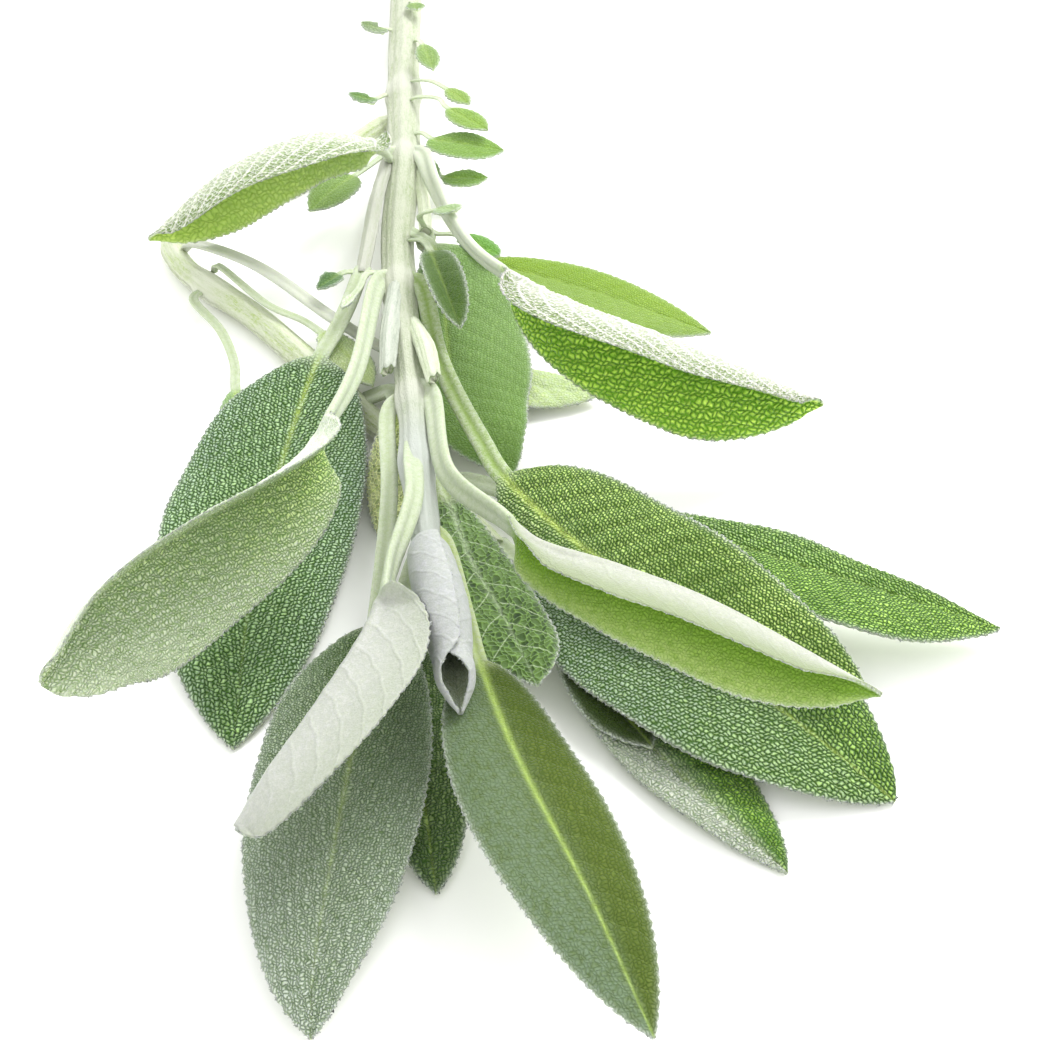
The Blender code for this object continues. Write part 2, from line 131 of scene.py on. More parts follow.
STEMS = {
    "main_stem": dict(
        slot="stem_green", step=0.8, nodes=(66, 44, 7, -21, -35), pale=(18, 34),
        skin=(0.376, 0.422, 0.279), groove=(0.275, 0.341, 0.175), down=(0.502, 0.517, 0.435),
        route=[
            (-23, 117.3, 2.6, 2.5), (-23, 99, 3.2, 2.5), (-22, 65, 4.2, 2.4), (-21, 44, 5.2, 2.4),
            (-21, 24, 6.6, 2.3), (-20, 7, 8, 2.2), (-17, -21, 10, 1.9), (-16, -34, 11, 1.9),
            (-14.5, -48, 12, 1.8), (-13.8, -53.5, 12.4, 1.0),
        ],
    ),
    "side_branch": dict(
        slot="stem_green", step=1.1, nodes=(36, 15, -6),
        skin=(0.49, 0.557, 0.359), groove=(0.353, 0.465, 0.135), down=(0.627, 0.649, 0.539),
        route=[
            (-22.2, 59.2, 3.9, 1.1), (-24.4, 59, 3.0, 1.5), (-26.6, 58, 2.3, 1.7), (-37, 45, 2.0, 1.6),
            (-49, 36, 2.0, 1.6), (-55, 28, 2.1, 1.6), (-53, 21, 2.2, 1.7), (-48, 15, 2.2, 1.8),
            (-40, 7, 2.15, 1.9), (-30, -6, 2.0, 1.9), (-22, -16, 1.8, 1.7), (-19, -20, 1.7, 1.6),
            (-12, -31, 1.6, 1.5), (-6, -40, 1.5, 1.4),
        ],
    ),
    "shoot_left": dict(
        slot="stem_green", step=1.2,
        skin=(0.491, 0.508, 0.413), groove=(0.411, 0.455, 0.317), down=(0.56, 0.562, 0.524),
        route=[(-23.5, 42, 6.6, 0.9), (-24.6, 29, 7.5, 1.0), (-25, 19, 8, 1.0), (-25.5, 10, 8, 0.9)],
    ),
    "shoot_right": dict(
        slot="stem_green", step=1.2,
        skin=(0.66, 0.72, 0.50), groove=(0.50, 0.60, 0.32), down=(0.80, 0.83, 0.70),
        route=[(-18.6, 41, 5.6, 0.9), (-17.3, 29, 7, 0.9), (-16.8, 21, 8, 0.9)],
    ),
    "stub_left": dict(
        slot="leaf_white_down", step=1, ragged=0.9,
        skin=(0.458, 0.497, 0.411), groove=(0.311, 0.362, 0.292), down=(0.575, 0.603, 0.53),
        route=[(-20.3, 5, 9.6, 1.1), (-20.6, -7, 10.9, 1.25), (-20.4, -17, 12.0, 1.0)],
    ),
    "stub_right": dict(
        slot="stem_green", step=1, ragged=0.9,
        skin=(0.554, 0.61, 0.441), groove=(0.443, 0.522, 0.3), down=(0.689, 0.736, 0.581),
        route=[(-17.6, -3.5, 9.8, 0.9), (-15.6, -12, 12.0, 1.25), (-14.2, -20, 13.0, 1.0)],
    ),
}


def through(points, places):
    """The points of a smooth curve at these shares of its length, and its length."""
    points = np.array(points, float)
    padded = np.vstack([2 * points[0] - points[1], points, 2 * points[-1] - points[-2]])
    t = np.linspace(0, 1, SPAN_STEPS, endpoint=False)[:, None]
    spans = []
    for before, start, end, after in zip(padded, padded[1:], padded[2:], padded[3:]):
        leaving, arriving = (end - before) / 2, (after - start) / 2
        square = 3 * (end - start) - 2 * leaving - arriving
        cube = 2 * (start - end) + leaving + arriving
        spans.append(start + t * (leaving + t * (square + t * cube)))
    fine = np.vstack([*spans, points[-1:]])
    steps = np.linalg.norm(np.diff(fine[:, :3], axis=0), axis=1)
    run = np.concatenate([[0], np.cumsum(steps)])
    at = np.asarray(places) * run[-1]
    return np.stack([np.interp(at, run, column) for column in fine.T], axis=1), run[-1]


def unit(vectors):
    """These vectors at a length of 1, or left at nearly nothing where they have no length."""
    return vectors / np.maximum(np.linalg.norm(vectors, axis=-1, keepdims=True), 1e-9)


def directions(route, places):
    """The forward, sideways and upward directions of a route at these shares of its length."""
    ahead, _ = through(route, np.clip(places + AIM_SHARE, 0, 1))
    behind, _ = through(route, np.clip(places - AIM_SHARE, 0, 1))
    forward = unit((ahead - behind)[:, :3])
    side = unit(np.cross(forward, (0, 0, 1)))
    return forward, side, np.cross(side, forward)


def eased(value, low, high):
    """0 up to low, 1 from high, and smooth between."""
    share = np.clip((value - low) / (high - low), 0, 1)
    return share * share * (3 - 2 * share)


def corners(mesh):
    """Where each vertex of a mesh is."""
    flat = np.empty(len(mesh.vertices) * 3, np.float32)
    mesh.vertices.foreach_get("co", flat)
    return flat.reshape(-1, 3)


def grid_places(mesh, columns, rows):
    """Each vertex's column and row, and whether it is in the lower layer, of a flat unit grid."""
    x, y, z = corners(mesh).T
    column = np.rint((x + 1) / 2 * columns).astype(int)
    row = np.rint((y + 1) / 2 * rows).astype(int)
    return column, row, z < -0.5


def set_points(mesh, points):
    """Moves the vertices here, in millimetres, and none of them into the table."""
    points[:, 2] = np.maximum(points[:, 2], TABLE_GAP)
    mesh.vertices.foreach_set("co", (points * MM).astype(np.float32).ravel())
    mesh.update()


def add_field(mesh, name, values):
    """Stores three numbers on each vertex, for the material to read."""
    field = mesh.attributes.new(name, "FLOAT_VECTOR", "POINT")
    field.data.foreach_set("vector", np.stack(values, axis=1).astype(np.float32).ravel())


def show(name, mesh, material):
    """Shows this mesh in place of the plain solid of the same name."""
    mesh.shade_smooth()
    mesh.materials.append(material)
    piece = bpy.data.objects.new(name + "_look", mesh)
    bpy.context.scene.collection.objects.link(piece)
    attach(piece, "root")
    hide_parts(name)


def add_node(tree, kind, values=(), output=0, **settings):
    """Adds a node, sets or links its inputs, and returns one of its outputs."""
    made = tree.nodes.new(kind)
    for key, value in settings.items():
        setattr(made, key, value)
    for place, value in dict(values).items():
        if isinstance(value, bpy.types.NodeSocket):
            tree.links.new(value, made.inputs[place])
        else:
            made.inputs[place].default_value = value
    return made.outputs[output]


def calc(tree, operation, *values, clamp=False):
    """A sum on one to three values."""
    return add_node(tree, "ShaderNodeMath", enumerate(values), operation=operation, use_clamp=clamp)


def times(tree, first, *others):
    """The product of two or more values."""
    for other in others:
        first = calc(tree, "MULTIPLY", first, other)
    return first


def parts(tree, vector):
    """The three numbers of a vector."""
    return add_node(tree, "ShaderNodeSeparateXYZ", {0: vector}).node.outputs


def mixed(tree, amount, first, second):
    """A colour between two others."""
    return add_node(tree, "ShaderNodeMix", {0: amount, 6: first, 7: second}, 2, data_type="RGBA")


def noise(tree, place, scale, detail=2.0, roughness=0.5):
    """A random value that changes smoothly from place to place."""
    values = {"Vector": place, "Scale": scale, "Detail": detail, "Roughness": roughness}
    return add_node(tree, "ShaderNodeTexNoise", values, "Fac")


def ramp(tree, value, low, high, start=0.0, end=1.0):
    """A value that runs smoothly from start to end as another runs from low to high."""
    values = {0: value, 1: low, 2: high, 3: start, 4: end}
    return add_node(tree, "ShaderNodeMapRange", values, interpolation_type="SMOOTHSTEP")


def new_group(name, vectors, colours, numbers=()):
    """A shader node group that gives a colour and a height, and its tree, inputs and output."""
    tree = bpy.data.node_groups.new(name, "ShaderNodeTree")
    for kind, labels in (("Vector", vectors), ("Color", colours), ("Float", numbers)):
        for label in labels:
            tree.interface.new_socket(label, in_out="INPUT", socket_type="NodeSocket" + kind)
    tree.interface.new_socket("Color", in_out="OUTPUT", socket_type="NodeSocketColor")
    tree.interface.new_socket("Height", in_out="OUTPUT", socket_type="NodeSocketFloat")
    source = tree.nodes.new("NodeGroupInput")
    return tree, source.outputs, tree.nodes.new("NodeGroupOutput").inputs


def new_material(name, group, values, fields, settings):
    """A Principled material whose colour and bump come from a group that reads the mesh's fields."""
    material = bpy.data.materials.new(name)
    material.use_nodes = True
    tree = material.node_tree
    shader = tree.nodes["Principled BSDF"]
    user = tree.nodes.new("ShaderNodeGroup")
    user.node_tree = group
    for label, value in values.items():
        user.inputs[label].default_value = value
    for label in fields:
        field = add_node(tree, "ShaderNodeAttribute", output="Vector", attribute_name=label.lower())
        tree.links.new(field, user.inputs[label])
    tree.links.new(user.outputs["Color"], shader.inputs["Base Color"])
    bump = tree.nodes.new("ShaderNodeBump")
    bump.inputs["Distance"].default_value = MM
    tree.links.new(user.outputs["Height"], bump.inputs["Height"])
    tree.links.new(bump.outputs["Normal"], shader.inputs["Normal"])
    for label, value in settings.items():
        shader.inputs[label].default_value = value
    return material


def stem_group():
    """The colour and the fine relief of a downy stem. Rings holds the share of the way along,
    the share of the way round and the share of the radius. Joints holds how near a leaf joint is
    and how white the growing end is."""
    tree, given, result = new_group("downy_stem", ("Rings", "Joints"), ("Skin", "Groove", "Down"))
    place = add_node(tree, "ShaderNodeTexCoord", output="Object")
    along, turn, radius = parts(tree, given["Rings"])
    joint, whiter, _ = parts(tree, given["Joints"])
    around = times(tree, turn, 2 * math.pi)
    circle = {0: calc(tree, "COSINE", around), 1: calc(tree, "SINE", around), 2: times(tree, along, 2.2)}
    lengthwise = add_node(tree, "ShaderNodeCombineXYZ", circle)
    streaks = noise(tree, lengthwise, 5.0, 3.0)
    fine_streaks = noise(tree, lengthwise, 16.0)
    blotches = noise(tree, place, 160.0)
    down = noise(tree, place, 3600.0, 2.0, 0.7)
    ribs = calc(tree, "ABSOLUTE", calc(tree, "COSINE", times(tree, around, 2.0)))
    skin = mixed(tree, ramp(tree, streaks, 0.35, 0.62), given["Groove"], given["Skin"])
    for layer, low, high, most in (
        (fine_streaks, 0.4, 0.65, 0.5),
        (ribs, 0.4, 1.0, 0.35),
        (blotches, 0.5, 0.7, 0.35),
        (joint, 0.15, 0.9, 0.7),
        (down, 0.4, 0.62, 0.4),
    ):
        skin = mixed(tree, ramp(tree, layer, low, high, 0.0, most), skin, given["Down"])
    skin = mixed(tree, times(tree, whiter, 0.85), skin, WHITE_SKIN)
    pith = mixed(tree, ramp(tree, radius, 0.6, 0.85), PITH, PITH_RING)
    tree.links.new(mixed(tree, ramp(tree, radius, 0.9, 0.97), pith, skin), result["Color"])
    relief = calc(tree, "MULTIPLY_ADD", down, 0.12, times(tree, fine_streaks, 0.14))
    tree.links.new(relief, result["Height"])
    return tree


STEM_FACE = stem_group()
STEM_GLOSS = {"Roughness": 0.75, "Specular IOR Level": 0.15, "Sheen Weight": 0.2, "Sheen Roughness": 0.4}


def add_stem(name, slot, step, skin, groove, down, route, nodes=(), pale=None, ragged=0.0):
    """A stem wound from a flat grid, welded along its seam and at the middle of both cut ends."""
    _, length = through(route, [0, 1])
    body = np.linspace(0, 1, max(FEWEST_ROWS, round(length / step)) + 1)
    places = np.concatenate([np.zeros(len(CAP_SHARES)), body, np.ones(len(CAP_SHARES))])
    shares = np.concatenate([CAP_SHARES, np.ones(len(body)), CAP_SHARES[::-1]])
    rows = len(places) - 1
    wound = bmesh.new()
    bmesh.ops.create_grid(wound, x_segments=STEM_ROUND, y_segments=rows, size=1)
    mesh = bpy.data.meshes.new(name + "_look")
    wound.to_mesh(mesh)
    column, row, _ = grid_places(mesh, STEM_ROUND, rows)
    centre, _ = through(route, places)
    forward, side, up = directions(route, places)
    around = 2 * math.pi * column / STEM_ROUND
    joint = np.zeros(len(places))
    for node in nodes:
        joint += np.exp(-(((centre[:, 1] - node) / NODE_LENGTH) ** 2))
    ribs = 1 + SQUARENESS * np.cos(4 * around) + RIB_DEPTH * np.cos(12 * around + RIB_TWIST * places[row])
    lumps = 1 + LUMP_HEIGHT * np.sin(37 * places[row] + 3 * around) + NODE_SWELL * joint[row]
    radius = centre[row, 3] * shares[row] * ribs * lumps
    outward = np.cos(around)[:, None] * side[row] + np.sin(around)[:, None] * up[row]
    last_sixth = np.clip(places[row] * 6 - 5, 0, 1)
    torn = ragged * last_sixth * (np.cos(around - 0.6) + 0.4 * np.sin(5 * around))
    set_points(mesh, centre[row, :3] + radius[:, None] * outward + torn[:, None] * forward[row])
    add_field(mesh, "rings", (places[row] * length / STREAK_LENGTH, column / STEM_ROUND, shares[row]))
    whiter = eased(-centre[:, 1], *pale) if pale else np.zeros(len(places))
    add_field(mesh, "joints", (joint[row], whiter[row], np.zeros(len(row))))
    wound.clear()
    wound.from_mesh(mesh)
    bmesh.ops.remove_doubles(wound, verts=wound.verts, dist=WELD_GAP)
    bmesh.ops.recalc_face_normals(wound, faces=wound.faces)
    wound.to_mesh(mesh)
    wound.free()
    values = {"Skin": (*skin, 1), "Groove": (*groove, 1), "Down": (*down, 1)}
    material = new_material(name, STEM_FACE, values, ("Rings", "Joints"), STEM_GLOSS)
    show(name, mesh, material)


for stem_name, stem in STEMS.items():
    add_stem(stem_name, **stem)


# ---- Leaves of the main stem: thick and downy, green and pebbled above, white and netted below,
# with short hairs along the margin. They stand at its joints on grooved stalks. Most are folded
# along the midrib, so that the white under side shows as a band beside the green.
# A route's points are (x, y, z, turn), where a positive turn raises the right half and no turn is
# given where the blade lies level. A half is (widest width, where it is widest as a share of the
# blade, rise at the midrib, further bend out to the margin), looking from the stem to the tip
# with the upper side up, and the last two are left out where it is nearly flat.
LEAF_HALF = 0.24  # half the thickness of a blade
STALK_HALF = 1.5  # half the width of a leaf stalk
STALK_STEP = 0.8
STALK_TOP = 0.55
STALK_BELOW = 0.85
STALK_GROOVE = 0.3
STALK_SKIN = 0.03
TIP_HALF = 0.22
FEWEST_BLADE_ROWS = 12
FEWEST_COLUMNS = 6  # of faces across a half
CLOSER_SHARE = 0.25  # how much closer the rows lie toward both ends of a blade
FOLD_HALF = 4.0  # a half narrower than this folds less, down to flat at no width
FOLD_STEPS = 60
NEARLY_FLAT = (8, -15)
MIDRIB_ROUND = 0.07  # share of a half over which the fold at the midrib is rounded
MIDRIB_SPREAD = (0.44, 0.12)  # half the width of the midrib, at the stalk and at the tip
MIDRIB_GROOVE = 0.14
KEEL = (0.87, 0.12)  # height of the midrib under the blade, at the stalk and at the tip
MOUTH = (0.76, 0.94)  # where a rolled leaf opens, as shares of its blade
LOBE_LENGTH = 0.06  # share of the blade over which its base runs back
VEIN_SPACING = 3.6
VEIN_LEAN = 0.75  # how far a side vein runs along the blade for each step across it
VEIN_HALF = 0.35
VEIN_GROOVE = 0.06
VEIN_RIDGE = 0.1
HOLLOW_DEPTH = 0.12
QUILT_HEIGHT = 0.2  # how far the blade swells between two side veins
RIPPLE_HEIGHT = 0.35
RIPPLE_LENGTH = 3.1
PEBBLE_TURN = (0.6, 0.8)  # cosine and sine of how far the rows of pebbles turn off the blade
BORDER_STRAY = 0.12  # how far the border between two pebbles of a row strays, as a share of one
BORDER_TURN = 2.4
WOBBLE_SHARES = (1.0, 1.0, 0.05)  # how much of a random stray pebbles and side veins take
ROW_BEND = 0.2  # how far the line between two rows bends round their pebbles, as a share of a row
ROW_TURN = 4.1
RIM_WIDTH = 0.25
TOOTH_LENGTH = 1.15
TOOTH_DEPTH = 0.28
HAIRS_PER_MM = 4.6
HAIR_LENGTH = 0.38
HAIR_HALF = 0.03  # half the thickness of a hair at its root
HAIR_ROOT = 0.1  # how deep its root sits in the margin
HAIR_RIM = 2.5  # how much paler a hair is than the rim
# The pale down's colour, which the material heaps on the pebble tops as a painted highlight.
BLOOM_AND_LIGHT = (0.44, 0.50, 0.41)
FELT = (0.60, 0.66, 0.50)
RIM = (0.54, 0.58, 0.52)
STALK = (0.36, 0.43, 0.25)
STALK_DOWN = (0.53, 0.56, 0.48)
VEIN = (0.40, 0.54, 0.11)
# The greenish grey felt tint stands partly for the green showing through and partly for painted shade where
# the under side turns from the light.
FELT_TINTS = {"Pit": (0.26, 0.40, 0.12), "Rib": (1.3, 1.26, 1.32), "Veil_and_shade": (0.52, 0.62, 0.36)}
LEAF_NUMBERS = ("Relief", "Square", "Edge", "Even", "Veins", "Wobble")

# The kinds of upper side. Cell is the size of a pebble across and along, square how square it is,
# edge how steeply its colour falls off, even how evenly down lies on it rather than only on the pebble tops
# where it paints a highlight, and relief its height.
# Stray and wobble are how far pebbles leave their rows, in waves and at random, and veins is how
# bright the side veins are. Groove and pebble multiply the leaf's own green; where the groove is the darker
# of the two, they paint shade into the grooves and a highlight onto the pebble tops.
SURFACES = {
    "pebbled": dict(
        cell=(0.54, 0.5), square=2.1, edge=1.9, even=0.1, relief=0.16, stray=0.16, wobble=0.8,
        veins=0.12, groove=(0.34, 0.45, 0.2), pebble=(3, 2.3, 3.2),
    ),
    "netted": dict(
        cell=(0.66, 0.6), square=2.6, edge=0.7, even=0.5, relief=-0.1, stray=0.2, wobble=0.6,
        veins=0.8, groove=(7, 4.6, 8), pebble=(0.32, 0.45, 0.2),
    ),
    "smooth": dict(
        cell=(0.5, 0.44), square=2.1, edge=1.4, even=0.9, relief=0.04, stray=0.2, wobble=1.2,
        veins=0.06, groove=(0.80, 0.86, 0.70), pebble=(1.4, 1.3, 1.45),
    ),
    "bright": dict(
        cell=(0.72, 0.64), square=2.1, edge=1.1, even=0.2, relief=0.2, stray=0.18, wobble=0.8,
        veins=0.12, groove=(0.42, 0.56, 0.3), pebble=(1.7, 1.5, 1.8),
    ),
    "soft": dict(
        cell=(0.5, 0.44), square=2.1, edge=1.7, even=0.5, relief=0.13, stray=0.22, wobble=1.5,
        veins=0.06, groove=(0.36, 0.50, 0.24), pebble=(2.1, 1.75, 2.3),
    ),
}

PAIRED_LEAVES = {
    "leaf_upper_left": dict(
        slot="leaf_grey_green", face=0.28, blade=42, left=(8.5, 0.65, 58, -10),
        right=(11.5, 0.4, 62, -10), base=(0.6, 0.8), grain=1.8, wavy=0.6, green=(0.36, 0.50, 0.10),
        bloom_and_light=(0.25, 0, 0.1, 0.1), rib=(0.3, 0.1), felt=(0.604, 0.619, 0.546), pits=1.5,
        route=[
            (-21.6, 45, 6.2, 40), (-23.3, 42, 8, 60), (-23.5, 38, 12, 90), (-26, 34, 15, 112),
            (-34, 29, 19, 112), (-46, 24, 16, 112), (-57, 19, 8, 112),
        ],
    ),
    # Its green is much brighter than a leaf's own: painted light on the green half, which its white fold
    # shades.
    "leaf_upper_right": dict(
        slot="leaf_green", surface="bright", face=0.28, blade=48, left=(12, 0.42, 60, -10),
        right=(11.5, 0.62, 58, -10), base=(1, 0.7), grain=1.1, wavy=0.5, green=(0.42, 0.70, 0.09),
        rib=(0.3, 0.1), stalk_green=(0.46, 0.51, 0.37), felt=(0.633, 0.629, 0.595), pits=1.5,
        route=[
            (-20.3, 46, 6, -10), (-18.1, 42.5, 7.7, -30), (-16, 31, 10, -60), (-12, 13, 14, -90),
            (-7, 0, 17, -106), (2, -11, 19, -106), (19, -16, 15, -106), (37, -19, 8, -106),
        ],
    ),
    "leaf_big_left": dict(
        slot="leaf_grey_green", surface="soft", face=0.28, blade=51, left=(12.5, 0.62, 55, -10),
        right=(10, 0.42, 37, -8), tip=0.45, lobe=2, stalk_half=1.4, wavy=0.15, green=(0.33, 0.51, 0.11),
        dust_and_light=(0.58, 0.65, 0.47), bloom_and_light=(0.12, 1.15, 0, 0.4), margin_bloom_and_light=0.5, rib=(0, 0),
        felt=(0.70, 0.74, 0.64), pits=0.5, veil_and_shade=(0.1, 0),
        route=[
            (-20.8, 9, 8.6, 30), (-23, 4.5, 10, 40), (-24, -18, 14, 60), (-26, -35, 19, 90),
            (-29.5, -47, 21, 100), (-42, -62, 23, 99), (-50, -73, 23, 93), (-53.5, -82, 21, 88),
        ],
    ),
    "leaf_right_middle": dict(
        slot="leaf_deep_green", surface="pebbled", face=0.28, blade=53, left=(10, 0.42, 15, -10),
        right=(7, 0.55, 5, -60), stalk_half=1.3, grain=0.88, green=(0.211, 0.37, 0.079),
        bloom_and_light=(0, 0, 0.25, 0.1), vein_green=(0.50, 0.66, 0.14), rib=(1.3, 0.3),
        stalk_green=(0.20, 0.30, 0.06), pits=0.5,
        route=[
            (-19, 9, 8.4, -20), (-16.5, 4.5, 9.6, -20), (-13.6, -12, 9.5, -20), (-8, -30, 11, -20),
            (-4, -40, 12, -20), (6, -53, 12, -20), (18, -61, 10.8, -20), (36, -70, 8.4, -20),
        ],
    ),
    # Its white band greys toward the free margin as painted shade, and its brighter green down at the margin
    # paints light onto the green half away from the fold's shade.
    "leaf_right_folded": dict(
        slot="leaf_green", face=0.28, blade=48, left=(6.6, 0.42, 62, -10), right=(8.5, 0.62, 58, -10),
        base=(1.6, 0.6), lobe=1.5, wavy=0, green=(0.15, 0.28, 0.025), dust_and_light=(0.33, 0.44, 0.13),
        bloom_and_light=(0, 0, 0, 0.1), margin_bloom_and_light=0.8, rib=(0, 0), felt=(0.43, 0.44, 0.39), pits=0.12,
        veil_and_shade=(0, 0.8),
        route=[
            (-16.6, -18.5, 10.4, -30), (-14.4, -23, 12, -40), (-12, -41, 15, -60), (-5, -55, 20, -90),
            (-1, -62, 22, -106), (8, -68, 24, -106), (19, -72, 22, -106), (36, -79, 16, -106),
        ],
    ),
    "leaf_front_left": dict(
        slot="leaf_grey_green", surface="soft", face=0.28, blade=53, left=(9, 0.42), right=(10.5, 0.45),
        stalk_half=1.1, grain=0.85, green=(0.156, 0.239, 0.0961), bloom_and_light=(0, 0.75, 0, 0.9),
        margin_bloom_and_light=0.15, felt=(0.60, 0.64, 0.52),
        route=[
            (-17.8, -18.5, 9.6), (-20.2, -23, 9.4), (-19.3, -39, 9), (-20, -62, 8), (-22, -84, 7),
            (-24, -104, 4), (-24, -113, 2),
        ],
    ),
    "leaf_front_white": dict(
        slot="leaf_white_down", surface="pebbled", face=0.28, blade=34, left=(6.5, 0.5, 60, -10),
        right=(9.5, 0.45, 60, -10), tip=0.35, stalk_half=1.3, wavy=0.2, green=(0.19, 0.27, 0.14),
        bloom_and_light=(0.3, 0.3, 0.3, 0.3), rib=(0.2, 0.1), felt=(0.44, 0.45, 0.42), pits=0.06, veil_and_shade=(0, 0.25),
        route=[
            (-16.4, -30, 11.2, 10), (-16.2, -37, 13.4, 20), (-15.8, -46, 15, 40), (-17.5, -57, 16, 60),
            (-19, -70, 18, 106), (-24, -82, 18, 106), (-29, -90, 16, 106), (-32.5, -94, 12, 106),
        ],
    ),
    "leaf_netted_middle": dict(
        slot="leaf_green", surface="netted", face=0.28, blade=32, left=(5.2, 0.75), right=(7, 0.5),
        grain=1.25, wavy=0.6, green=(0.0257, 0.0653, 0.01), bloom_and_light=(0.1, 0, 0.1, 0),
        vein_green=(0.45, 0.55, 0.34), rib=(0.7, 0.3), stalk_green=(0.26, 0.34, 0.12),
        route=[
            (-15.6, -31.5, 10.4), (-13.4, -34.5, 9.5), (-12.5, -37, 9), (-9, -49, 8), (-5, -58, 7.2),
            (-1, -69, 7),
        ],
    ),
    # The bluish grey down laid on its right half paints a sheen there.
    "leaf_front": dict(
        slot="leaf_deep_green", blade=49, left=(6.5, 0.5, 8, -20), right=(8, 0.42, 8, -20),
        stalk_half=0.9, wavy=0.4, green=(0.0804, 0.12, 0.0193), dust_and_light=(0.17, 0.235, 0.16),
        bloom_and_light=(0, 0, 0.45, 0.6), rib=(1, 0.9), stalk_green=(0.36, 0.46, 0.14), pits=0.3,
        route=[
            (-13.6, -47.5, 12), (-11.6, -51, 12), (-9, -64, 13), (-7, -74, 14), (-3, -87, 14),
            (4, -103, 12), (10, -117, 8),
        ],
    ),
}


def less(tree, first, second, clamp=False):
    """The first value less the second."""
    return calc(tree, "SUBTRACT", first, second, clamp=clamp)


def distance(tree, first, second):
    """How far apart two values are."""
    return calc(tree, "ABSOLUTE", less(tree, first, second))


def leaf_group():
    """The colour and fine relief of both sides of a leaf.

    Cells holds the pebble's number across and along the blade and the side vein's number.
    Zones holds how much pale down and painted light lies there (on the under side, how far the green shows
    through and painted shade greys the felt), how far the hollows show, and 1 on the under side.
    Lines holds the midrib, the rim and the stalk."""
    colours = ("Groove", "Pebble", "Vein", "Bloom_and_light", "Felt", "Pit", "Rib", "Veil_and_shade", "Rim", "Stalk", "Down")
    tree, given, result = new_group("sage_leaf", ("Cells", "Zones", "Lines"), colours, LEAF_NUMBERS)
    place = add_node(tree, "ShaderNodeTexCoord", output="Object")
    fine = noise(tree, place, 5200.0, 2.0, 0.65)
    grain = noise(tree, place, 1500.0)
    patches = noise(tree, place, 95.0, 3.0)
    cover, hollows, under = parts(tree, given["Zones"])
    midrib, rim, stalk = parts(tree, given["Lines"])

    # Where the pebbles and the side veins lie, and how far they stray at random.
    wobble = add_node(tree, "ShaderNodeTexNoise", {"Vector": place, "Scale": 1000.0, "Detail": 1.0}, "Color")
    wobble = add_node(tree, "ShaderNodeVectorMath", {0: wobble, 1: (0.5, 0.5, 0.5)}, operation="SUBTRACT")
    less_below = calc(tree, "MULTIPLY_ADD", under, -0.7, 1.0)
    amount = {0: wobble, "Scale": times(tree, given["Wobble"], less_below)}
    wobble = add_node(tree, "ShaderNodeVectorMath", amount, operation="SCALE")
    stray = {0: wobble, 1: WOBBLE_SHARES, 2: given["Cells"]}
    cells = add_node(tree, "ShaderNodeVectorMath", stray, operation="MULTIPLY_ADD")
    cell_across, cell_along, vein_number = parts(tree, cells)

    # How high the nearest pebble stands here, from 0 on its border to 1, as pebble_dome has it.
    bend = calc(tree, "COSINE", times(tree, cell_across, 2 * math.pi))
    bend = times(tree, bend, calc(tree, "COSINE", times(tree, cell_along, math.pi)))
    row_place = calc(tree, "MULTIPLY_ADD", bend, -ROW_BEND, cell_along)
    cell_row = calc(tree, "FLOOR", row_place)
    shifted = calc(tree, "MULTIPLY_ADD", cell_row, 0.5, cell_across)
    first = calc(tree, "FLOOR", shifted)

    def border(number):
        """Where the border of this number lies in the pebble's row."""
        phase = calc(tree, "MULTIPLY_ADD", number, BORDER_TURN, times(tree, cell_row, ROW_TURN))
        return calc(tree, "MULTIPLY_ADD", calc(tree, "SINE", phase), BORDER_STRAY, number)

    before, after = border(first), border(calc(tree, "ADD", first, 1.0))
    nearest = calc(tree, "MINIMUM", distance(tree, shifted, before), distance(tree, shifted, after))
    off_middle = distance(tree, calc(tree, "FRACT", row_place), 0.5)
    along = less(tree, 1.0, times(tree, nearest, 2.0), clamp=True)
    along = calc(tree, "POWER", along, given["Square"])
    aside = calc(tree, "POWER", times(tree, off_middle, 2.0), given["Square"])
    dome = less(tree, 1.0, calc(tree, "ADD", along, aside), clamp=True)
    number = less(tree, first, calc(tree, "LESS_THAN", shifted, before))
    number = calc(tree, "ADD", number, calc(tree, "GREATER_THAN", shifted, after))
    tone = calc(tree, "SINE", calc(tree, "MULTIPLY_ADD", number, 2.9, times(tree, cell_row, 4.7)))
    off_vein = distance(tree, calc(tree, "FRACT", vein_number), 0.5)
    vein = ramp(tree, off_vein, 0.0, 0.05, 1.0, 0.0)
    wide_vein = ramp(tree, off_vein, 0.0, 0.13, 1.0, 0.0)
    line = calc(tree, "MAXIMUM", times(tree, wide_vein, hollows), midrib)

    # The upper side: green pebbles with darker grooves, painted shade in the grooves and a painted highlight
    # on the tops, side veins, down that lies thickest on the tops as a further painted highlight, and a pale
    # rim.
    green = mixed(tree, calc(tree, "POWER", dome, given["Edge"]), given["Groove"], given["Pebble"])
    green = mixed(tree, calc(tree, "MULTIPLY_ADD", tone, 0.22, 0.22), green, given["Groove"])
    green = mixed(tree, ramp(tree, patches, 0.35, 0.7, 0.0, 0.45), green, given["Groove"])
    veined = calc(tree, "MAXIMUM", times(tree, vein, given["Veins"]), midrib)
    green = mixed(tree, veined, green, given["Vein"])
    # Down lies thickest on the pebble tops, where it also paints their highlight.
    down_and_highlight_on_tops = ramp(tree, dome, 0.4, 1.0, given["Even"], 1.2)
    dusted_and_lit = times(tree, cover, down_and_highlight_on_tops, ramp(tree, grain, 0.25, 0.65, 0.55, 1.15))
    green = mixed(tree, dusted_and_lit, green, given["Bloom_and_light"])
    beads = times(tree, rim, calc(tree, "MULTIPLY_ADD", dome, 0.6, 0.4))
    green = mixed(tree, beads, green, given["Rim"])

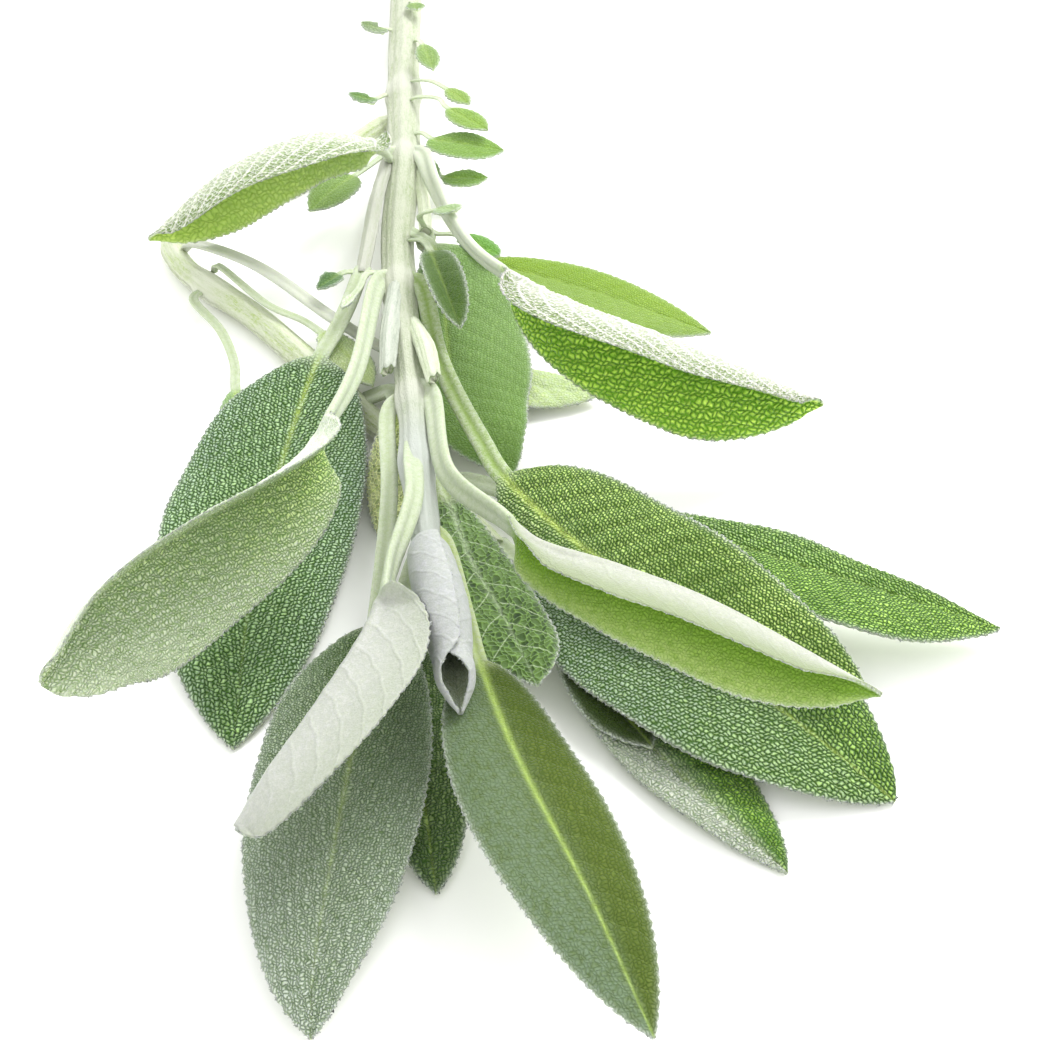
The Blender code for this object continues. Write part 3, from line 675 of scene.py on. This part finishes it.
    # The under side: white felt with dark hollows between the raised veins, under a greenish grey film that
    # is partly the green showing through and partly painted shade.
    hollow = times(tree, ramp(tree, dome, 0.1, 0.7), hollows, less(tree, 1.0, line))
    white = mixed(tree, hollow, given["Felt"], given["Pit"])
    white = mixed(tree, line, white, given["Rib"])
    white = mixed(tree, ramp(tree, grain, 0.4, 0.75, 0.0, 0.4), white, given["Rib"])
    white = mixed(tree, ramp(tree, fine, 0.4, 0.65, 0.22, 0.0), white, given["Veil_and_shade"])
    white = mixed(tree, cover, white, given["Veil_and_shade"])

    # The stalk, and a little down over everything.
    face = mixed(tree, under, green, white)
    downy = mixed(tree, ramp(tree, grain, 0.3, 0.7, 0.1, 0.5), given["Stalk"], given["Down"])
    downy = mixed(tree, ramp(tree, fine, 0.4, 0.65, 0.0, 0.45), downy, given["Down"])
    downy = mixed(tree, times(tree, midrib, 0.6), downy, given["Stalk"])
    face = mixed(tree, stalk, face, downy)
    face = mixed(tree, ramp(tree, fine, 0.5, 0.8, 0.0, 0.07), face, given["Bloom_and_light"])
    tree.links.new(face, result["Color"])

    above = less(tree, times(tree, dome, given["Relief"], 2.2), times(tree, vein, 0.05))
    below = calc(tree, "MULTIPLY_ADD", wide_vein, 0.06, times(tree, dome, hollows, -0.25))
    height = add_node(tree, "ShaderNodeMix", {0: under, 2: above, 3: below})
    height = times(tree, height, less(tree, 1.0, stalk))
    height = calc(tree, "MULTIPLY_ADD", fine, 0.06, height)
    height = calc(tree, "MULTIPLY_ADD", grain, 0.08, height)
    tree.links.new(height, result["Height"])
    return tree


LEAF_FACE = leaf_group()
LEAF_GLOSS = {
    "Roughness": 0.6,
    "Specular IOR Level": 0.1,
    "Sheen Weight": 0.15,
    "Sheen Roughness": 0.35,
    "Sheen Tint": (0.85, 0.95, 1.0, 1),
    "Subsurface Weight": 0.25,
    "Subsurface Radius": (0.8, 1.0, 0.4),
    "Subsurface Scale": MM,
}


def tinted(colour, tint):
    """A colour times a tint, no brighter than white."""
    return (*[min(1.0, part * share) for part, share in zip(colour, tint)], 1)


def between(ends, share):
    """A value that runs evenly from the first of two ends to the second."""
    return ends[0] + (ends[1] - ends[0]) * share


def slab(columns, rows):
    """A flat closed slab, its upper layer at z = 0 and its lower layer at z = -1."""
    flat = bmesh.new()
    bmesh.ops.create_grid(flat, x_segments=columns, y_segments=rows, size=1)
    everything = [*flat.verts, *flat.edges, *flat.faces]
    made = bmesh.ops.extrude_face_region(flat, geom=everything, use_keep_orig=True)
    copied = [part for part in made["geom"] if isinstance(part, bmesh.types.BMVert)]
    bmesh.ops.translate(flat, verts=copied, vec=(0, 0, -1))
    bmesh.ops.recalc_face_normals(flat, faces=flat.faces)
    return flat


def add_hairs(flat, margin):
    """Adds three-sided hairs for a margin of this length, all alike, and returns how many."""
    made = bmesh.ops.create_cone(flat, cap_ends=True, segments=3, radius1=1, radius2=0, depth=1)
    hairs = list(made["verts"])
    edges = [edge for vert in hairs for edge in vert.link_edges]
    faces = [face for vert in hairs for face in vert.link_faces]
    hairs += [*dict.fromkeys(edges), *dict.fromkeys(faces)]
    doublings = max(0, round(math.log2(margin * HAIRS_PER_MM)))
    for _ in range(doublings):
        hairs += bmesh.ops.duplicate(flat, geom=hairs)["geom"]
    return 2**doublings


def hair_points(plain, ends, out, ahead, upward, seed):
    """Sets hairs, of which plain is one, along a margin, pointing out of it at odd angles."""
    chance = np.random.default_rng(seed)
    place = np.linspace(0, len(ends) - 1, len(plain) // 4) + chance.uniform(-0.4, 0.4, len(plain) // 4)
    at = np.clip(np.rint(place).astype(int), 0, len(ends) - 1)
    lean, lift = chance.uniform(-0.9, 0.9, len(at)), chance.uniform(-0.5, 0.6, len(at))
    way = unit(out[at] + lean[:, None] * ahead[at] + lift[:, None] * upward[at])
    first = unit(np.cross(way, upward[at]))
    second = np.cross(way, first)
    length = HAIR_LENGTH * chance.uniform(0.5, 1.0, len(at))
    along = ahead[at] * chance.uniform(-0.14, 0.14, len(at))[:, None]
    root = ends[at] + along - HAIR_ROOT * out[at]
    shape = plain.reshape(-1, 4, 3)
    made = shape[:, :, :1] * first[:, None] + shape[:, :, 1:2] * second[:, None]
    made = root[:, None] + HAIR_HALF * made + (shape[:, :, 2:] + 0.5) * (length[:, None] * way)[:, None]
    return made.reshape(-1, 3)


def outline(u, widest, tip, base):
    """Half the width of a blade at u from its base to its tip, as a share of the widest."""
    base = np.clip(1 - (1 - np.minimum(u, widest) / widest) ** 2, 0, 1) ** base
    end = np.clip(1 - np.clip((u - widest) / (1 - widest), 0, 1) ** 2, 0, 1) ** tip
    return np.where(u < widest, base, end)


def pebble_dome(p, q, squareness):
    """How high a pebble stands at each point, from 0 on its border to 1, as the material has it."""
    q = q - ROW_BEND * np.cos(2 * math.pi * p) * np.cos(math.pi * q)
    cell_row = np.floor(q)
    shifted = p + 0.5 * cell_row
    first = np.floor(shifted)
    gaps = [
        np.abs(shifted - number - BORDER_STRAY * np.sin(BORDER_TURN * number + ROW_TURN * cell_row))
        for number in (first, first + 1)
    ]
    along = np.clip(1 - 2 * np.minimum(*gaps), 0, 1) ** squareness
    aside = np.abs(2 * (q - cell_row) - 1) ** squareness
    return np.clip(1 - along - aside, 0, 1)


def add_leaf_field(mesh, name, values, on_hairs):
    """Stores three numbers on each vertex of a leaf, and the same three on all its hairs."""
    hairs = len(mesh.vertices) - len(values[0])
    add_field(mesh, name, [np.append(part, np.full(hairs, rest)) for part, rest in zip(values, on_hairs)])


def half_section(half, u, shares, base, stalk_half, tip, mouth):
    """How far out, how far up and how wide one half is, for every row and share of its width."""
    most, widest, rise, bend = (*half, *NEARLY_FLAT)[:4]
    inside = np.clip(u, 0, 1)
    blade_width = most * outline(inside, widest, tip, base)
    width = (blade_width**3 + between((stalk_half, TIP_HALF), inside) ** 3) ** (1 / 3)
    fold = eased(u, -0.05, 0.0) if mouth else np.minimum(1, width / FOLD_HALF) * eased(u, 0.0, 0.08)
    roll = fold * (1 - mouth * eased(u, *MOUTH))
    steps = np.linspace(0, 1, FOLD_STEPS + 1)
    swing = np.radians(rise) * (1 - np.exp(-steps / MIDRIB_ROUND))[None] * fold[:, None]
    swing = swing + np.radians(bend) * steps[None] * roll[:, None]
    middles = (swing[:, 1:] + swing[:, :-1]) / 2
    start = np.zeros((len(u), 1))
    out = np.hstack([start, np.cumsum(np.cos(middles), axis=1)]) / FOLD_STEPS
    lift = np.hstack([start, np.cumsum(np.sin(middles), axis=1)]) / FOLD_STEPS
    sampled = [np.stack([np.interp(shares, steps, row) for row in rows]) for rows in (out, lift)]
    return sampled[0] * width[:, None], sampled[1] * width[:, None], width


def leaf_cells(run, across, share, stray, cell, seed):
    """The pebble and side vein numbers at each point, from its place along and across the blade."""
    reach = np.abs(across)
    leaning = run - VEIN_LEAN * reach * (1 + 0.35 * share**2) + 0.5 * VEIN_SPACING * (across < 0)
    cosine, sine = PEBBLE_TURN
    p = (cosine * run + sine * reach) / cell[0] + seed
    q = (sine * run - cosine * reach * (1 + 0.2 * share**2)) / cell[1]
    wave = np.where(across < 0, seed + 1.7, seed)
    p2 = p + stray * (np.sin(1.9 * q + 1.3 * p + wave) + 0.7 * np.sin(0.8 * q - 2.6 * p + 2 * wave))
    q2 = q + stray * (np.sin(1.6 * p - 0.9 * q + 3 * wave) + 0.7 * np.sin(2.7 * p + 0.7 * q + wave))
    return p2, q2, leaning / VEIN_SPACING + 0.04 * np.sin(0.9 * p + wave)


def add_leaf(
    name,
    slot,
    blade,  # the length of the blade, without its stalk
    left,
    green,
    route,
    right=None,  # like the left half where it isn't given
    surface="smooth",
    face=0.3,  # the size of one face of the mesh
    tip=0.8,  # how pointed the tip is
    base=(0.5, 0.5),  # how pointed the base is, for the left and the right half
    lobe=0.0,  # how far the base runs back beside the stalk
    mouth=0.0,  # how much of its roll a rolled leaf loses at its tip
    stalk_half=STALK_HALF,
    leaf_half=LEAF_HALF,
    grain=1.0,  # the size of the pebbles, as a multiple of the surface's own
    wavy=1.0,  # how much the blade swells between its side veins
    dust_and_light=BLOOM_AND_LIGHT,  # the colour of the pale down over the green, which also paints highlights on the pebble tops and sheen
    bloom_and_light=(0.0, 0.0, 0.0, 0.0),  # how much of it lies at the stalk and the tip, left half first; on some leaves it paints a sheen onto one half
    margin_bloom_and_light=0.0,  # how much more of it lies at the margin; on a folded leaf this paints light onto the half away from the fold's shade
    vein_green=VEIN,
    rib=(0.8, 0.3),  # how bright the midrib is at the stalk and at the tip
    stalk_green=STALK,
    felt=FELT,  # the colour of the under side
    pits=0.4,  # how dark the hollows of the under side are
    veil_and_shade=(0.0, 0.2),  # how far the green shows through it, at the midrib and at the margin; toward the margin it also greys the felt as painted shade
):
    """A leaf with its stalk, bent from a flat slab along its route."""
    look = SURFACES[surface]
    route = [(*point, 0)[:4] for point in route]
    right = right or left
    _, length = through(route, [0, 1])
    stalk = max(0.0, 1 - blade / length)
    stalk_rows = max(2, round(stalk * length / STALK_STEP))
    even = np.linspace(0, 1, max(FEWEST_BLADE_ROWS, round(blade / face)) + 1)
    closer = between((even, 0.5 - 0.5 * np.cos(math.pi * even)), CLOSER_SHARE)
    places = np.concatenate([np.linspace(0, stalk, stalk_rows + 1)[:-1], stalk + (1 - stalk) * closer])
    u = (places - stalk) / (1 - stalk)
    inside = np.clip(u, 0, 1)[:, None]
    middle = max(FEWEST_COLUMNS, round((left[0] + right[0]) / 2 / face))
    columns = 2 * middle
    rows = len(places) - 1
    shares = np.linspace(-1, 1, columns + 1)[None]

    # The folded sheet, along its route.
    centre, _ = through(route, places)
    _, side, up = directions(route, places)
    turn = np.radians(centre[:, 3])[:, None]
    rightward = np.cos(turn) * side + np.sin(turn) * up
    upward = np.cos(turn) * up - np.sin(turn) * side
    forward = np.cross(upward, rightward)
    shape = (stalk_half, tip, mouth)
    out_right, up_right, wide_right = half_section(right, u, shares[0, middle:], base[1], *shape)
    out_left, up_left, wide_left = half_section(left, u, -shares[0, middle::-1], base[0], *shape)
    out = np.hstack([-out_left[:, :0:-1], out_right])
    lift = np.hstack([up_left[:, :0:-1], up_right])
    width = np.where(shares < 0, wide_left[:, None], wide_right[:, None])
    on_blade = eased(u, -0.02, 0.04)[:, None]
    share = np.abs(shares)
    run = (u * blade)[:, None] + np.zeros_like(share)
    across = shares * width
    seed = sum(map(ord, name)) % 17 + 0.37
    tooth = np.abs(np.sin(math.pi * (run + 0.3 * shares) / TOOTH_LENGTH + seed))
    stretch = 1 - on_blade * share**5 * TOOTH_DEPTH * (1 - tooth) / np.maximum(width, 1.0)
    points = centre[:, None, :3] + (out * stretch)[..., None] * rightward[:, None]
    points = points + (lift * stretch)[..., None] * upward[:, None]
    slip = lobe * share**1.5 * np.exp(-inside / LOBE_LENGTH) * on_blade
    points = points - slip[..., None] * forward[:, None]

    # Its pebbles, veins and swellings.
    cell = [size * grain for size in look["cell"]]
    cells = leaf_cells(run, across, share, look["stray"], cell, seed)
    dome = pebble_dome(cells[0], cells[1], look["square"])
    off_vein = cells[2] - np.floor(cells[2]) - 0.5
    vein = np.exp(-((off_vein * VEIN_SPACING / VEIN_HALF) ** 2))
    spread = np.minimum(between(MIDRIB_SPREAD, inside), 0.35 * width)
    midrib = np.exp(-((across / spread) ** 2))
    normal = unit(np.cross(np.gradient(points, axis=1), np.gradient(points, axis=0)))
    quilt = QUILT_HEIGHT * wavy * np.sin(math.pi * off_vein) ** 2 * (1 - share**4)
    ripple = RIPPLE_HEIGHT * wavy * share**3 * np.sin(run / RIPPLE_LENGTH + seed + 2 * shares)
    points = points + (on_blade * (quilt + ripple) * np.minimum(1, width / 5))[..., None] * normal

    # How thick it is above and below the sheet, on the blade and on the stalk.
    thin = leaf_half * (1 - 0.5 * share**6)
    blade_top = thin + look["relief"] * dome * (1 - share**10)
    blade_top = blade_top - MIDRIB_GROOVE * midrib - VEIN_GROOVE * vein
    keel = between(KEEL, inside) * np.exp(-((across / (1.3 * spread)) ** 2))
    blade_below = thin + keel + VEIN_RIDGE * wavy * vein * (1 - share**2) - HOLLOW_DEPTH * pits * dome
    stalk_size = stalk_half / STALK_HALF
    round_off = np.sqrt(np.clip(1 - share**2, 0, 1)) * stalk_size
    stalk_groove = STALK_GROOVE * np.exp(-((share / 0.4) ** 2)) * stalk_size
    stalk_top = STALK_TOP * round_off - stalk_groove + STALK_SKIN
    above = on_blade * blade_top + (1 - on_blade) * stalk_top
    below = on_blade * blade_below + (1 - on_blade) * (STALK_BELOW * round_off + STALK_SKIN)

    flat = slab(columns, rows)
    sheet = len(flat.verts)
    hairs = [add_hairs(flat, blade) for _ in range(2)]
    mesh = bpy.data.meshes.new(name + "_look")
    flat.to_mesh(mesh)
    flat.free()
    plain = corners(mesh)
    column, row, lower = [part[:sheet] for part in grid_places(mesh, columns, rows)]
    offset = np.where(lower, -below[row, column], above[row, column])
    placed = [points[row, column] + offset[:, None] * normal[row, column]]
    start = sheet
    for edge, inner, count in ((0, 1, hairs[0]), (columns, columns - 1, hairs[1])):
        margin = points[stalk_rows:, edge]
        out_of = unit(margin - points[stalk_rows:, inner])
        stop = start + 4 * count
        ways = (out_of, forward[stalk_rows:], normal[stalk_rows:, edge])
        placed.append(hair_points(plain[start:stop], margin, *ways, int(seed) + edge))
        start = stop
    set_points(mesh, np.vstack(placed))

    def at_vertices(values):
        """The values of the sheet's grid at each of its vertices."""
        return np.broadcast_to(values, run.shape)[row, column]

    # What the material reads.
    dusted_and_lit = between((between(bloom_and_light[:2], inside), between(bloom_and_light[2:], inside)), eased(shares, -0.4, 0.4))
    dusted_and_lit = dusted_and_lit + margin_bloom_and_light * eased(share, 0.35, 1.0)
    veiled_and_shaded = between(veil_and_shade, eased(share, 0.1, 0.95))
    cover = np.where(lower, at_vertices(veiled_and_shaded), at_vertices(dusted_and_lit))
    hollow = at_vertices(pits * between((0.35, 1.0), eased(share, 0.2, 0.9)))
    bright = at_vertices(midrib * between(rib, inside))
    rim = at_vertices(np.exp(-(width * (1 - share)) / RIM_WIDTH) * on_blade)
    stalked = at_vertices(1 - eased(u, -0.03, 0.05)[:, None])
    add_leaf_field(mesh, "cells", [at_vertices(part) for part in cells], (0, 0, 0))
    add_leaf_field(mesh, "zones", [cover, hollow, lower.astype(float)], (0, 0, 0))
    add_leaf_field(mesh, "lines", [bright, rim, stalked], (0, HAIR_RIM, 0))
    values = {"Vein": vein_green, "Bloom_and_light": dust_and_light, "Felt": felt, "Rim": RIM, "Stalk": stalk_green}
    values = {label: (*colour, 1) for label, colour in values.items()}
    values["Down"] = (*STALK_DOWN, 1)
    for label in ("Groove", "Pebble"):
        values[label] = tinted(green, look[label.lower()])
    for label, tint in FELT_TINTS.items():
        values[label] = tinted(felt, tint)
    for label in LEAF_NUMBERS:
        values[label] = look[label.lower()]
    material = new_material(name, LEAF_FACE, values, ("Cells", "Zones", "Lines"), LEAF_GLOSS)
    show(name, mesh, material)


for leaf_name, leaf in PAIRED_LEAVES.items():
    add_leaf(leaf_name, **leaf)


# ---- Leaves of the shoots: three flat young leaves low down between the stem and the table, two
# at the ends of the thin shoots and one from the stem between them.
SHOOT_LEAVES = {
    "leaf_lower_left": dict(
        slot="leaf_deep_green", surface="pebbled", blade=67, left=(12, 0.45), right=(13, 0.45),
        stalk_half=1.2, grain=1.1, green=(0.108, 0.228, 0.0451), dust_and_light=(0.54, 0.66, 0.60),
        bloom_and_light=(0.32, 0.15, 0.28, 0.1), margin_bloom_and_light=0.15, rib=(1, 0),
        route=[
            (-25.4, 12, 8), (-25.8, 9.4, 8.4), (-27, 3, 8), (-28.5, -2, 7.2), (-31, -9, 5.8),
            (-34, -26, 4), (-36, -45, 3), (-36, -73, 0.6),
        ],
    ),
    "leaf_inner_right": dict(
        slot="leaf_green", blade=46, left=(11.3, 0.5), right=(6.5, 0.6), stalk_half=1, wavy=0.3,
        green=(0.151, 0.265, 0.0618), bloom_and_light=(0.12, 0, 0.15, 0), rib=(0.6, 0.2),
        route=[
            (-20, 24, 6.8), (-15.6, 16, 8.8), (-13.8, 10, 6.6), (-13.4, 2.5, 5), (-11.8, -11.5, 3.8),
            (-8.2, -20, 3.2), (-4, -26.5, 2),
        ],
    ),
    "leaf_back_right": dict(
        slot="leaf_young_green", face=0.4, blade=35, left=(5, 0.42), right=(8, 0.42), grain=0.8,
        wavy=0.15, green=(0.192, 0.312, 0.0289), bloom_and_light=(0, 0.05, 0.1, 0.1), rib=(0.12, 0),
        felt=(0.64, 0.70, 0.50),
        route=[(-16.8, 22, 7.4), (-16, 19.2, 6.4), (-8, 17.8, 4.8), (8, 11.2, 4.2), (24, 3.6, 2.6)],
    ),
}

for leaf_name, leaf in SHOOT_LEAVES.items():
    add_leaf(leaf_name, **leaf)


# ---- Leaves at the end of the branch: flat ones that fan out over the table from under the main
# stem, where the branch ends.
BRANCH_END_LEAVES = {
    "leaf_far_right": dict(
        slot="leaf_green", surface="pebbled", blade=52, left=(4.4, 0.42, 15, -15),
        right=(9, 0.6, 15, -15), grain=0.9, green=(0.15, 0.31, 0.0456), bloom_and_light=(0.3, 0, 0, 0),
        rib=(0.3, 0.1), felt=(0.62, 0.70, 0.50),
        route=[
            (-12, -28, 2.2), (-9, -30, 4), (7, -38, 5), (23, -45, 6.5), (37, -51.5, 6.5), (55, -55, 2),
        ],
    ),
    "leaf_low_right": dict(
        slot="leaf_grey_green", surface="pebbled", blade=54, left=(10, 0.7), right=(13.5, 0.45),
        grain=1.1, green=(0.119, 0.246, 0.0368), dust_and_light=(0.40, 0.50, 0.42), bloom_and_light=(0.15, 0, 0.75, 0.2),
        rib=(0.8, 0.85),
        route=[
            (-6, -39, 1.6), (-4.5, -41.7, 2.2), (-2.5, -44.5, 3), (11, -56, 5), (26, -70, 4.6),
            (39, -81, 0.6),
        ],
    ),
    # The thick pale down laid on its right half paints a silvery sheen along the fold.
    "leaf_low_front_right": dict(
        slot="leaf_grey_green", surface="soft", blade=44, left=(8, 0.5), right=(4.2, 0.5),
        green=(0.155, 0.305, 0.04), dust_and_light=(0.56, 0.60, 0.50), bloom_and_light=(0, 0, 1.3, 1.1),
        route=[
            (-6.6, -39.6, 1.6), (-7.7, -42.4, 1.5), (-4, -48.5, 1.6), (2, -56.5, 1.6),
            (11, -72.5, 1.8), (26, -91, 0.6),
        ],
    ),
    # Its very dark green is painted shade for the curled hollow it lies in.
    "leaf_low_small": dict(
        slot="leaf_deep_green", face=0.35, blade=17, left=(3.5, 0.5), right=(4, 0.5),
        green=(0.0365, 0.0631, 0.01), felt=(0.50, 0.56, 0.40),
        route=[
            (-6.6, -39.4, 1.4), (-3.2, -47.5, 1.2), (0.5, -55.5, 2.9), (4.5, -63, 3.4), (12, -75, 3.1),
        ],
    ),
    "leaf_narrow_front": dict(
        slot="leaf_deep_green", surface="soft", face=0.35, blade=38, left=(5, 0.65), right=(5, 0.6),
        green=(0.13, 0.21, 0.07), felt=(0.55, 0.60, 0.45),
        route=[(-13.5, -33, 2), (-17, -53, 3), (-14.5, -76, 3), (-12, -94, 1)],
    ),
    "leaf_behind_stem": dict(
        slot="leaf_green", surface="netted", face=0.4, blade=23, left=(4, 0.5), right=(3, 0.5),
        green=(0.132, 0.23, 0.0584), bloom_and_light=(0.1, 0.1, 0.1, 0.1),
        route=[(-24.6, -11, 2.4), (-19.7, -13, 4.8), (-20, -26, 3.4), (-20.3, -39, 1)],
    ),
}

for leaf_name, leaf in BRANCH_END_LEAVES.items():
    add_leaf(leaf_name, **leaf)


# ---- The growing tip: one young leaf still rolled into a tube, white side out, that opens a
# little at its mouth.
TIP_LEAVES = {
    "leaf_rolled_tip": dict(
        slot="leaf_white_down", face=0.28, blade=29, left=(11, 0.5, 10, 205), right=(11, 0.5, 10, 180),
        base=(0.25, 0.25), mouth=0.45, wavy=0.15, green=(0.16, 0.19, 0.10), bloom_and_light=(0, 0.3, 0, 0.3),
        rib=(0, 0), felt=(0.40, 0.41, 0.41), pits=0.03, veil_and_shade=(0, 0),
        route=[
            (-13.9, -50, 12.2), (-13.4, -55.6, 12.6), (-12.8, -60, 13.6), (-11, -70, 15),
            (-9.4, -81, 15.4),
        ],
    ),
}

for leaf_name, leaf in TIP_LEAVES.items():
    add_leaf(leaf_name, **leaf)


# ---- Leaves of the bend: three small pale ones on long stalks that run forward from where the
# branch bends back toward the stem.
BEND_LEAVES = {
    "leaf_striped": dict(
        slot="leaf_young_green", blade=24, left=(4.5, 0.5), right=(5, 0.5), stalk_half=1,
        green=(0.475, 0.605, 0.184), bloom_and_light=(0.5, 0.5, 0.5, 0.5), stalk_green=(0.48, 0.50, 0.42),
        felt=(0.64, 0.70, 0.50),
        route=[
            (-52.8, 24, 3), (-51, 22, 5.4), (-44, 16, 7.2), (-38, 11, 7.2), (-29, 3, 5.6),
            (-20, -2, 3.1), (-9, -6, 2), (8, -9, 1.5),
        ],
    ),
    "leaf_bright": dict(
        slot="leaf_young_green", blade=14, left=(3, 0.5), stalk_half=0.6,
        green=(0.474, 0.582, 0.264), bloom_and_light=(0.3, 0.1, 0.3, 0.1), felt=(0.64, 0.70, 0.50),
        route=[
            (-47.8, 18, 3.2), (-46.5, 16, 5.4), (-39, 7, 5.3), (-33, 3, 5), (-28, -3, 4.9),
            (-23, -11, 4.8),
        ],
    ),
    "leaf_under": dict(
        slot="leaf_green", blade=19, left=(3.5, 0.5), stalk_half=0.7,
        green=(0.2, 0.34, 0.1), bloom_and_light=(0.2, 0.1, 0.2, 0.1),
        route=[
            (-48.8, 14.6, 2.4), (-50, 10.8, 3.2), (-45.5, 4, 3), (-43, -2, 1.7), (-42, -9, 1),
            (-38, -26, 0.7),
        ],
    ),
}

for leaf_name, leaf in BEND_LEAVES.items():
    add_leaf(leaf_name, face=0.45, **leaf)


# ---- Leaflets: the small young leaves in the axils and along the bare end of the stem. They are
# made like the leaves, thinner and smoother, on thread-like stalks.
LEAFLETS = {
    "leaflet_shoot_left": dict(
        slot="leaf_deep_green", blade=4, left=(1.8, 0.4, 30, -10), green=(0.08, 0.16, 0.05),
        route=[(-25.6, 10.6, 8.1), (-27.8, 9.6, 9), (-29.3, 7.5, 9.3), (-31.5, 6, 8.6)],
    ),
    "leaflet_white_stalk": dict(
        slot="leaf_white_down", blade=3, left=(0.8, 0.4), green=(0.60, 0.66, 0.54),
        route=[(-21.4, 9.5, 8.8), (-24.4, 7, 10.6), (-25.4, 3, 10.8), (-27.5, -1, 10.4)],
    ),
    "leaflet_flag": dict(
        slot="leaf_young_green", blade=5, left=(2, 0.6), tip=0.4, green=(0.26, 0.36, 0.17),
        route=[(-16.9, 21.8, 8.2), (-17.4, 19.5, 12), (-14.5, 17, 14.6), (-12, 14, 16.4)],
    ),
    "leaflet_behind": dict(
        slot="leaf_young_green", blade=8, left=(2.2, 0.5), tip=0.5, green=(0.12, 0.28, 0.04),
        route=[(-16.4, 22.2, 7.9), (-15.2, 21.5, 7.4), (-12, 19, 8.8), (-6, 13.5, 9)],
    ),
    "leaflet_folded": dict(
        slot="leaf_deep_green", blade=20, left=(3.5, 0.5, 50, -10), right=(3, 0.5, 50, -10),
        green=(0.06, 0.115, 0.014),
        route=[(-19.1, 18.5, 8.4), (-16.5, 14, 11), (-14.3, 4, 13), (-11, -9, 13)],
    ),
    "leaflet_left": dict(
        slot="leaf_green", blade=11, left=(3.5, 0.5), green=(0.17, 0.27, 0.07),
        route=[(-24.2, 46, 5.5), (-27, 41, 6), (-31, 34, 7), (-34.5, 29.5, 6)],
    ),
    "leaflet_right": dict(
        slot="leaf_young_green", blade=12, left=(3.6, 0.5), right=(4.2, 0.5), green=(0.17, 0.29, 0.055),
        route=[(-20.2, 51, 6), (-18.4, 50, 7), (-16, 45.5, 8.4), (-11, 43.5, 8.8), (-5.5, 43, 8)],
    ),
    "leaflet_right_low": dict(
        slot="leaf_young_green", blade=7, left=(2.5, 0.5), green=(0.2, 0.34, 0.07),
        route=[(-18.2, 44.5, 4.4), (-15, 41, 4.6), (-11, 40, 5), (-8, 40, 5)],
    ),
    "leaflet_right_upper": dict(
        slot="leaf_young_green", blade=9, left=(2.5, 0.5), green=(0.19, 0.31, 0.05),
        route=[(-21, 61.5, 5.9), (-19.3, 60, 7.5), (-16, 57, 9), (-14, 51, 10.6), (-8, 44.5, 10.8)],
    ),
    "leaflet_hook": dict(
        slot="leaf_young_green", blade=6, left=(1.8, 0.5), green=(0.2, 0.31, 0.06),
        route=[(-21.2, 66.8, 5.6), (-20.2, 66, 7), (-16.5, 61, 9.5), (-11, 53.5, 10)],
    ),
    "leaflet_upper": dict(
        slot="leaf_green", blade=9, left=(2, 0.5), green=(0.19, 0.29, 0.08),
        route=[(-21.4, 82, 5), (-20.2, 81, 6), (-19, 74, 9), (-17, 65, 9.5)],
    ),
    "leaflet_upper_left": dict(
        slot="leaf_green", blade=5, left=(1.5, 0.5), green=(0.10, 0.19, 0.05),
        route=[(-23.8, 65, 5), (-25, 64, 5.5), (-27, 60, 7), (-30.5, 61, 7.5)],
    ),
    "leaflet_top_left": dict(
        slot="leaf_green", blade=5, left=(1.8, 0.5), green=(0.17, 0.23, 0.12),
        route=[(-24.2, 87, 4.4), (-25.6, 86.5, 5), (-27.2, 84.8, 6), (-30, 86, 6.5)],
    ),
    "leaflet_top_right": dict(
        slot="leaf_green", blade=4, left=(1.8, 0.5), green=(0.15, 0.24, 0.06),
        route=[(-22.2, 95, 5), (-21.6, 94, 6.2), (-20.5, 88.5, 7.5)],
    ),
    "leaflet_axil": dict(
        slot="leaf_green", blade=8, left=(1.2, 0.5), green=(0.20, 0.34, 0.10),
        route=[(-18.3, 47, 5.6), (-17, 43, 5.8), (-15.5, 37.5, 5.6)],
    ),
}
LEAFLET = dict(
    wavy=0.2,
    rib=(0.25, 0.1),
    felt=(0.62, 0.70, 0.50),
    pits=0.3,
    bloom_and_light=(0.05, 0.0, 0.05, 0.0),
    stalk_half=0.5,
    leaf_half=0.2,
)

for leaf_name, leaf in LEAFLETS.items():
    add_leaf(leaf_name, **{**LEAFLET, **leaf})
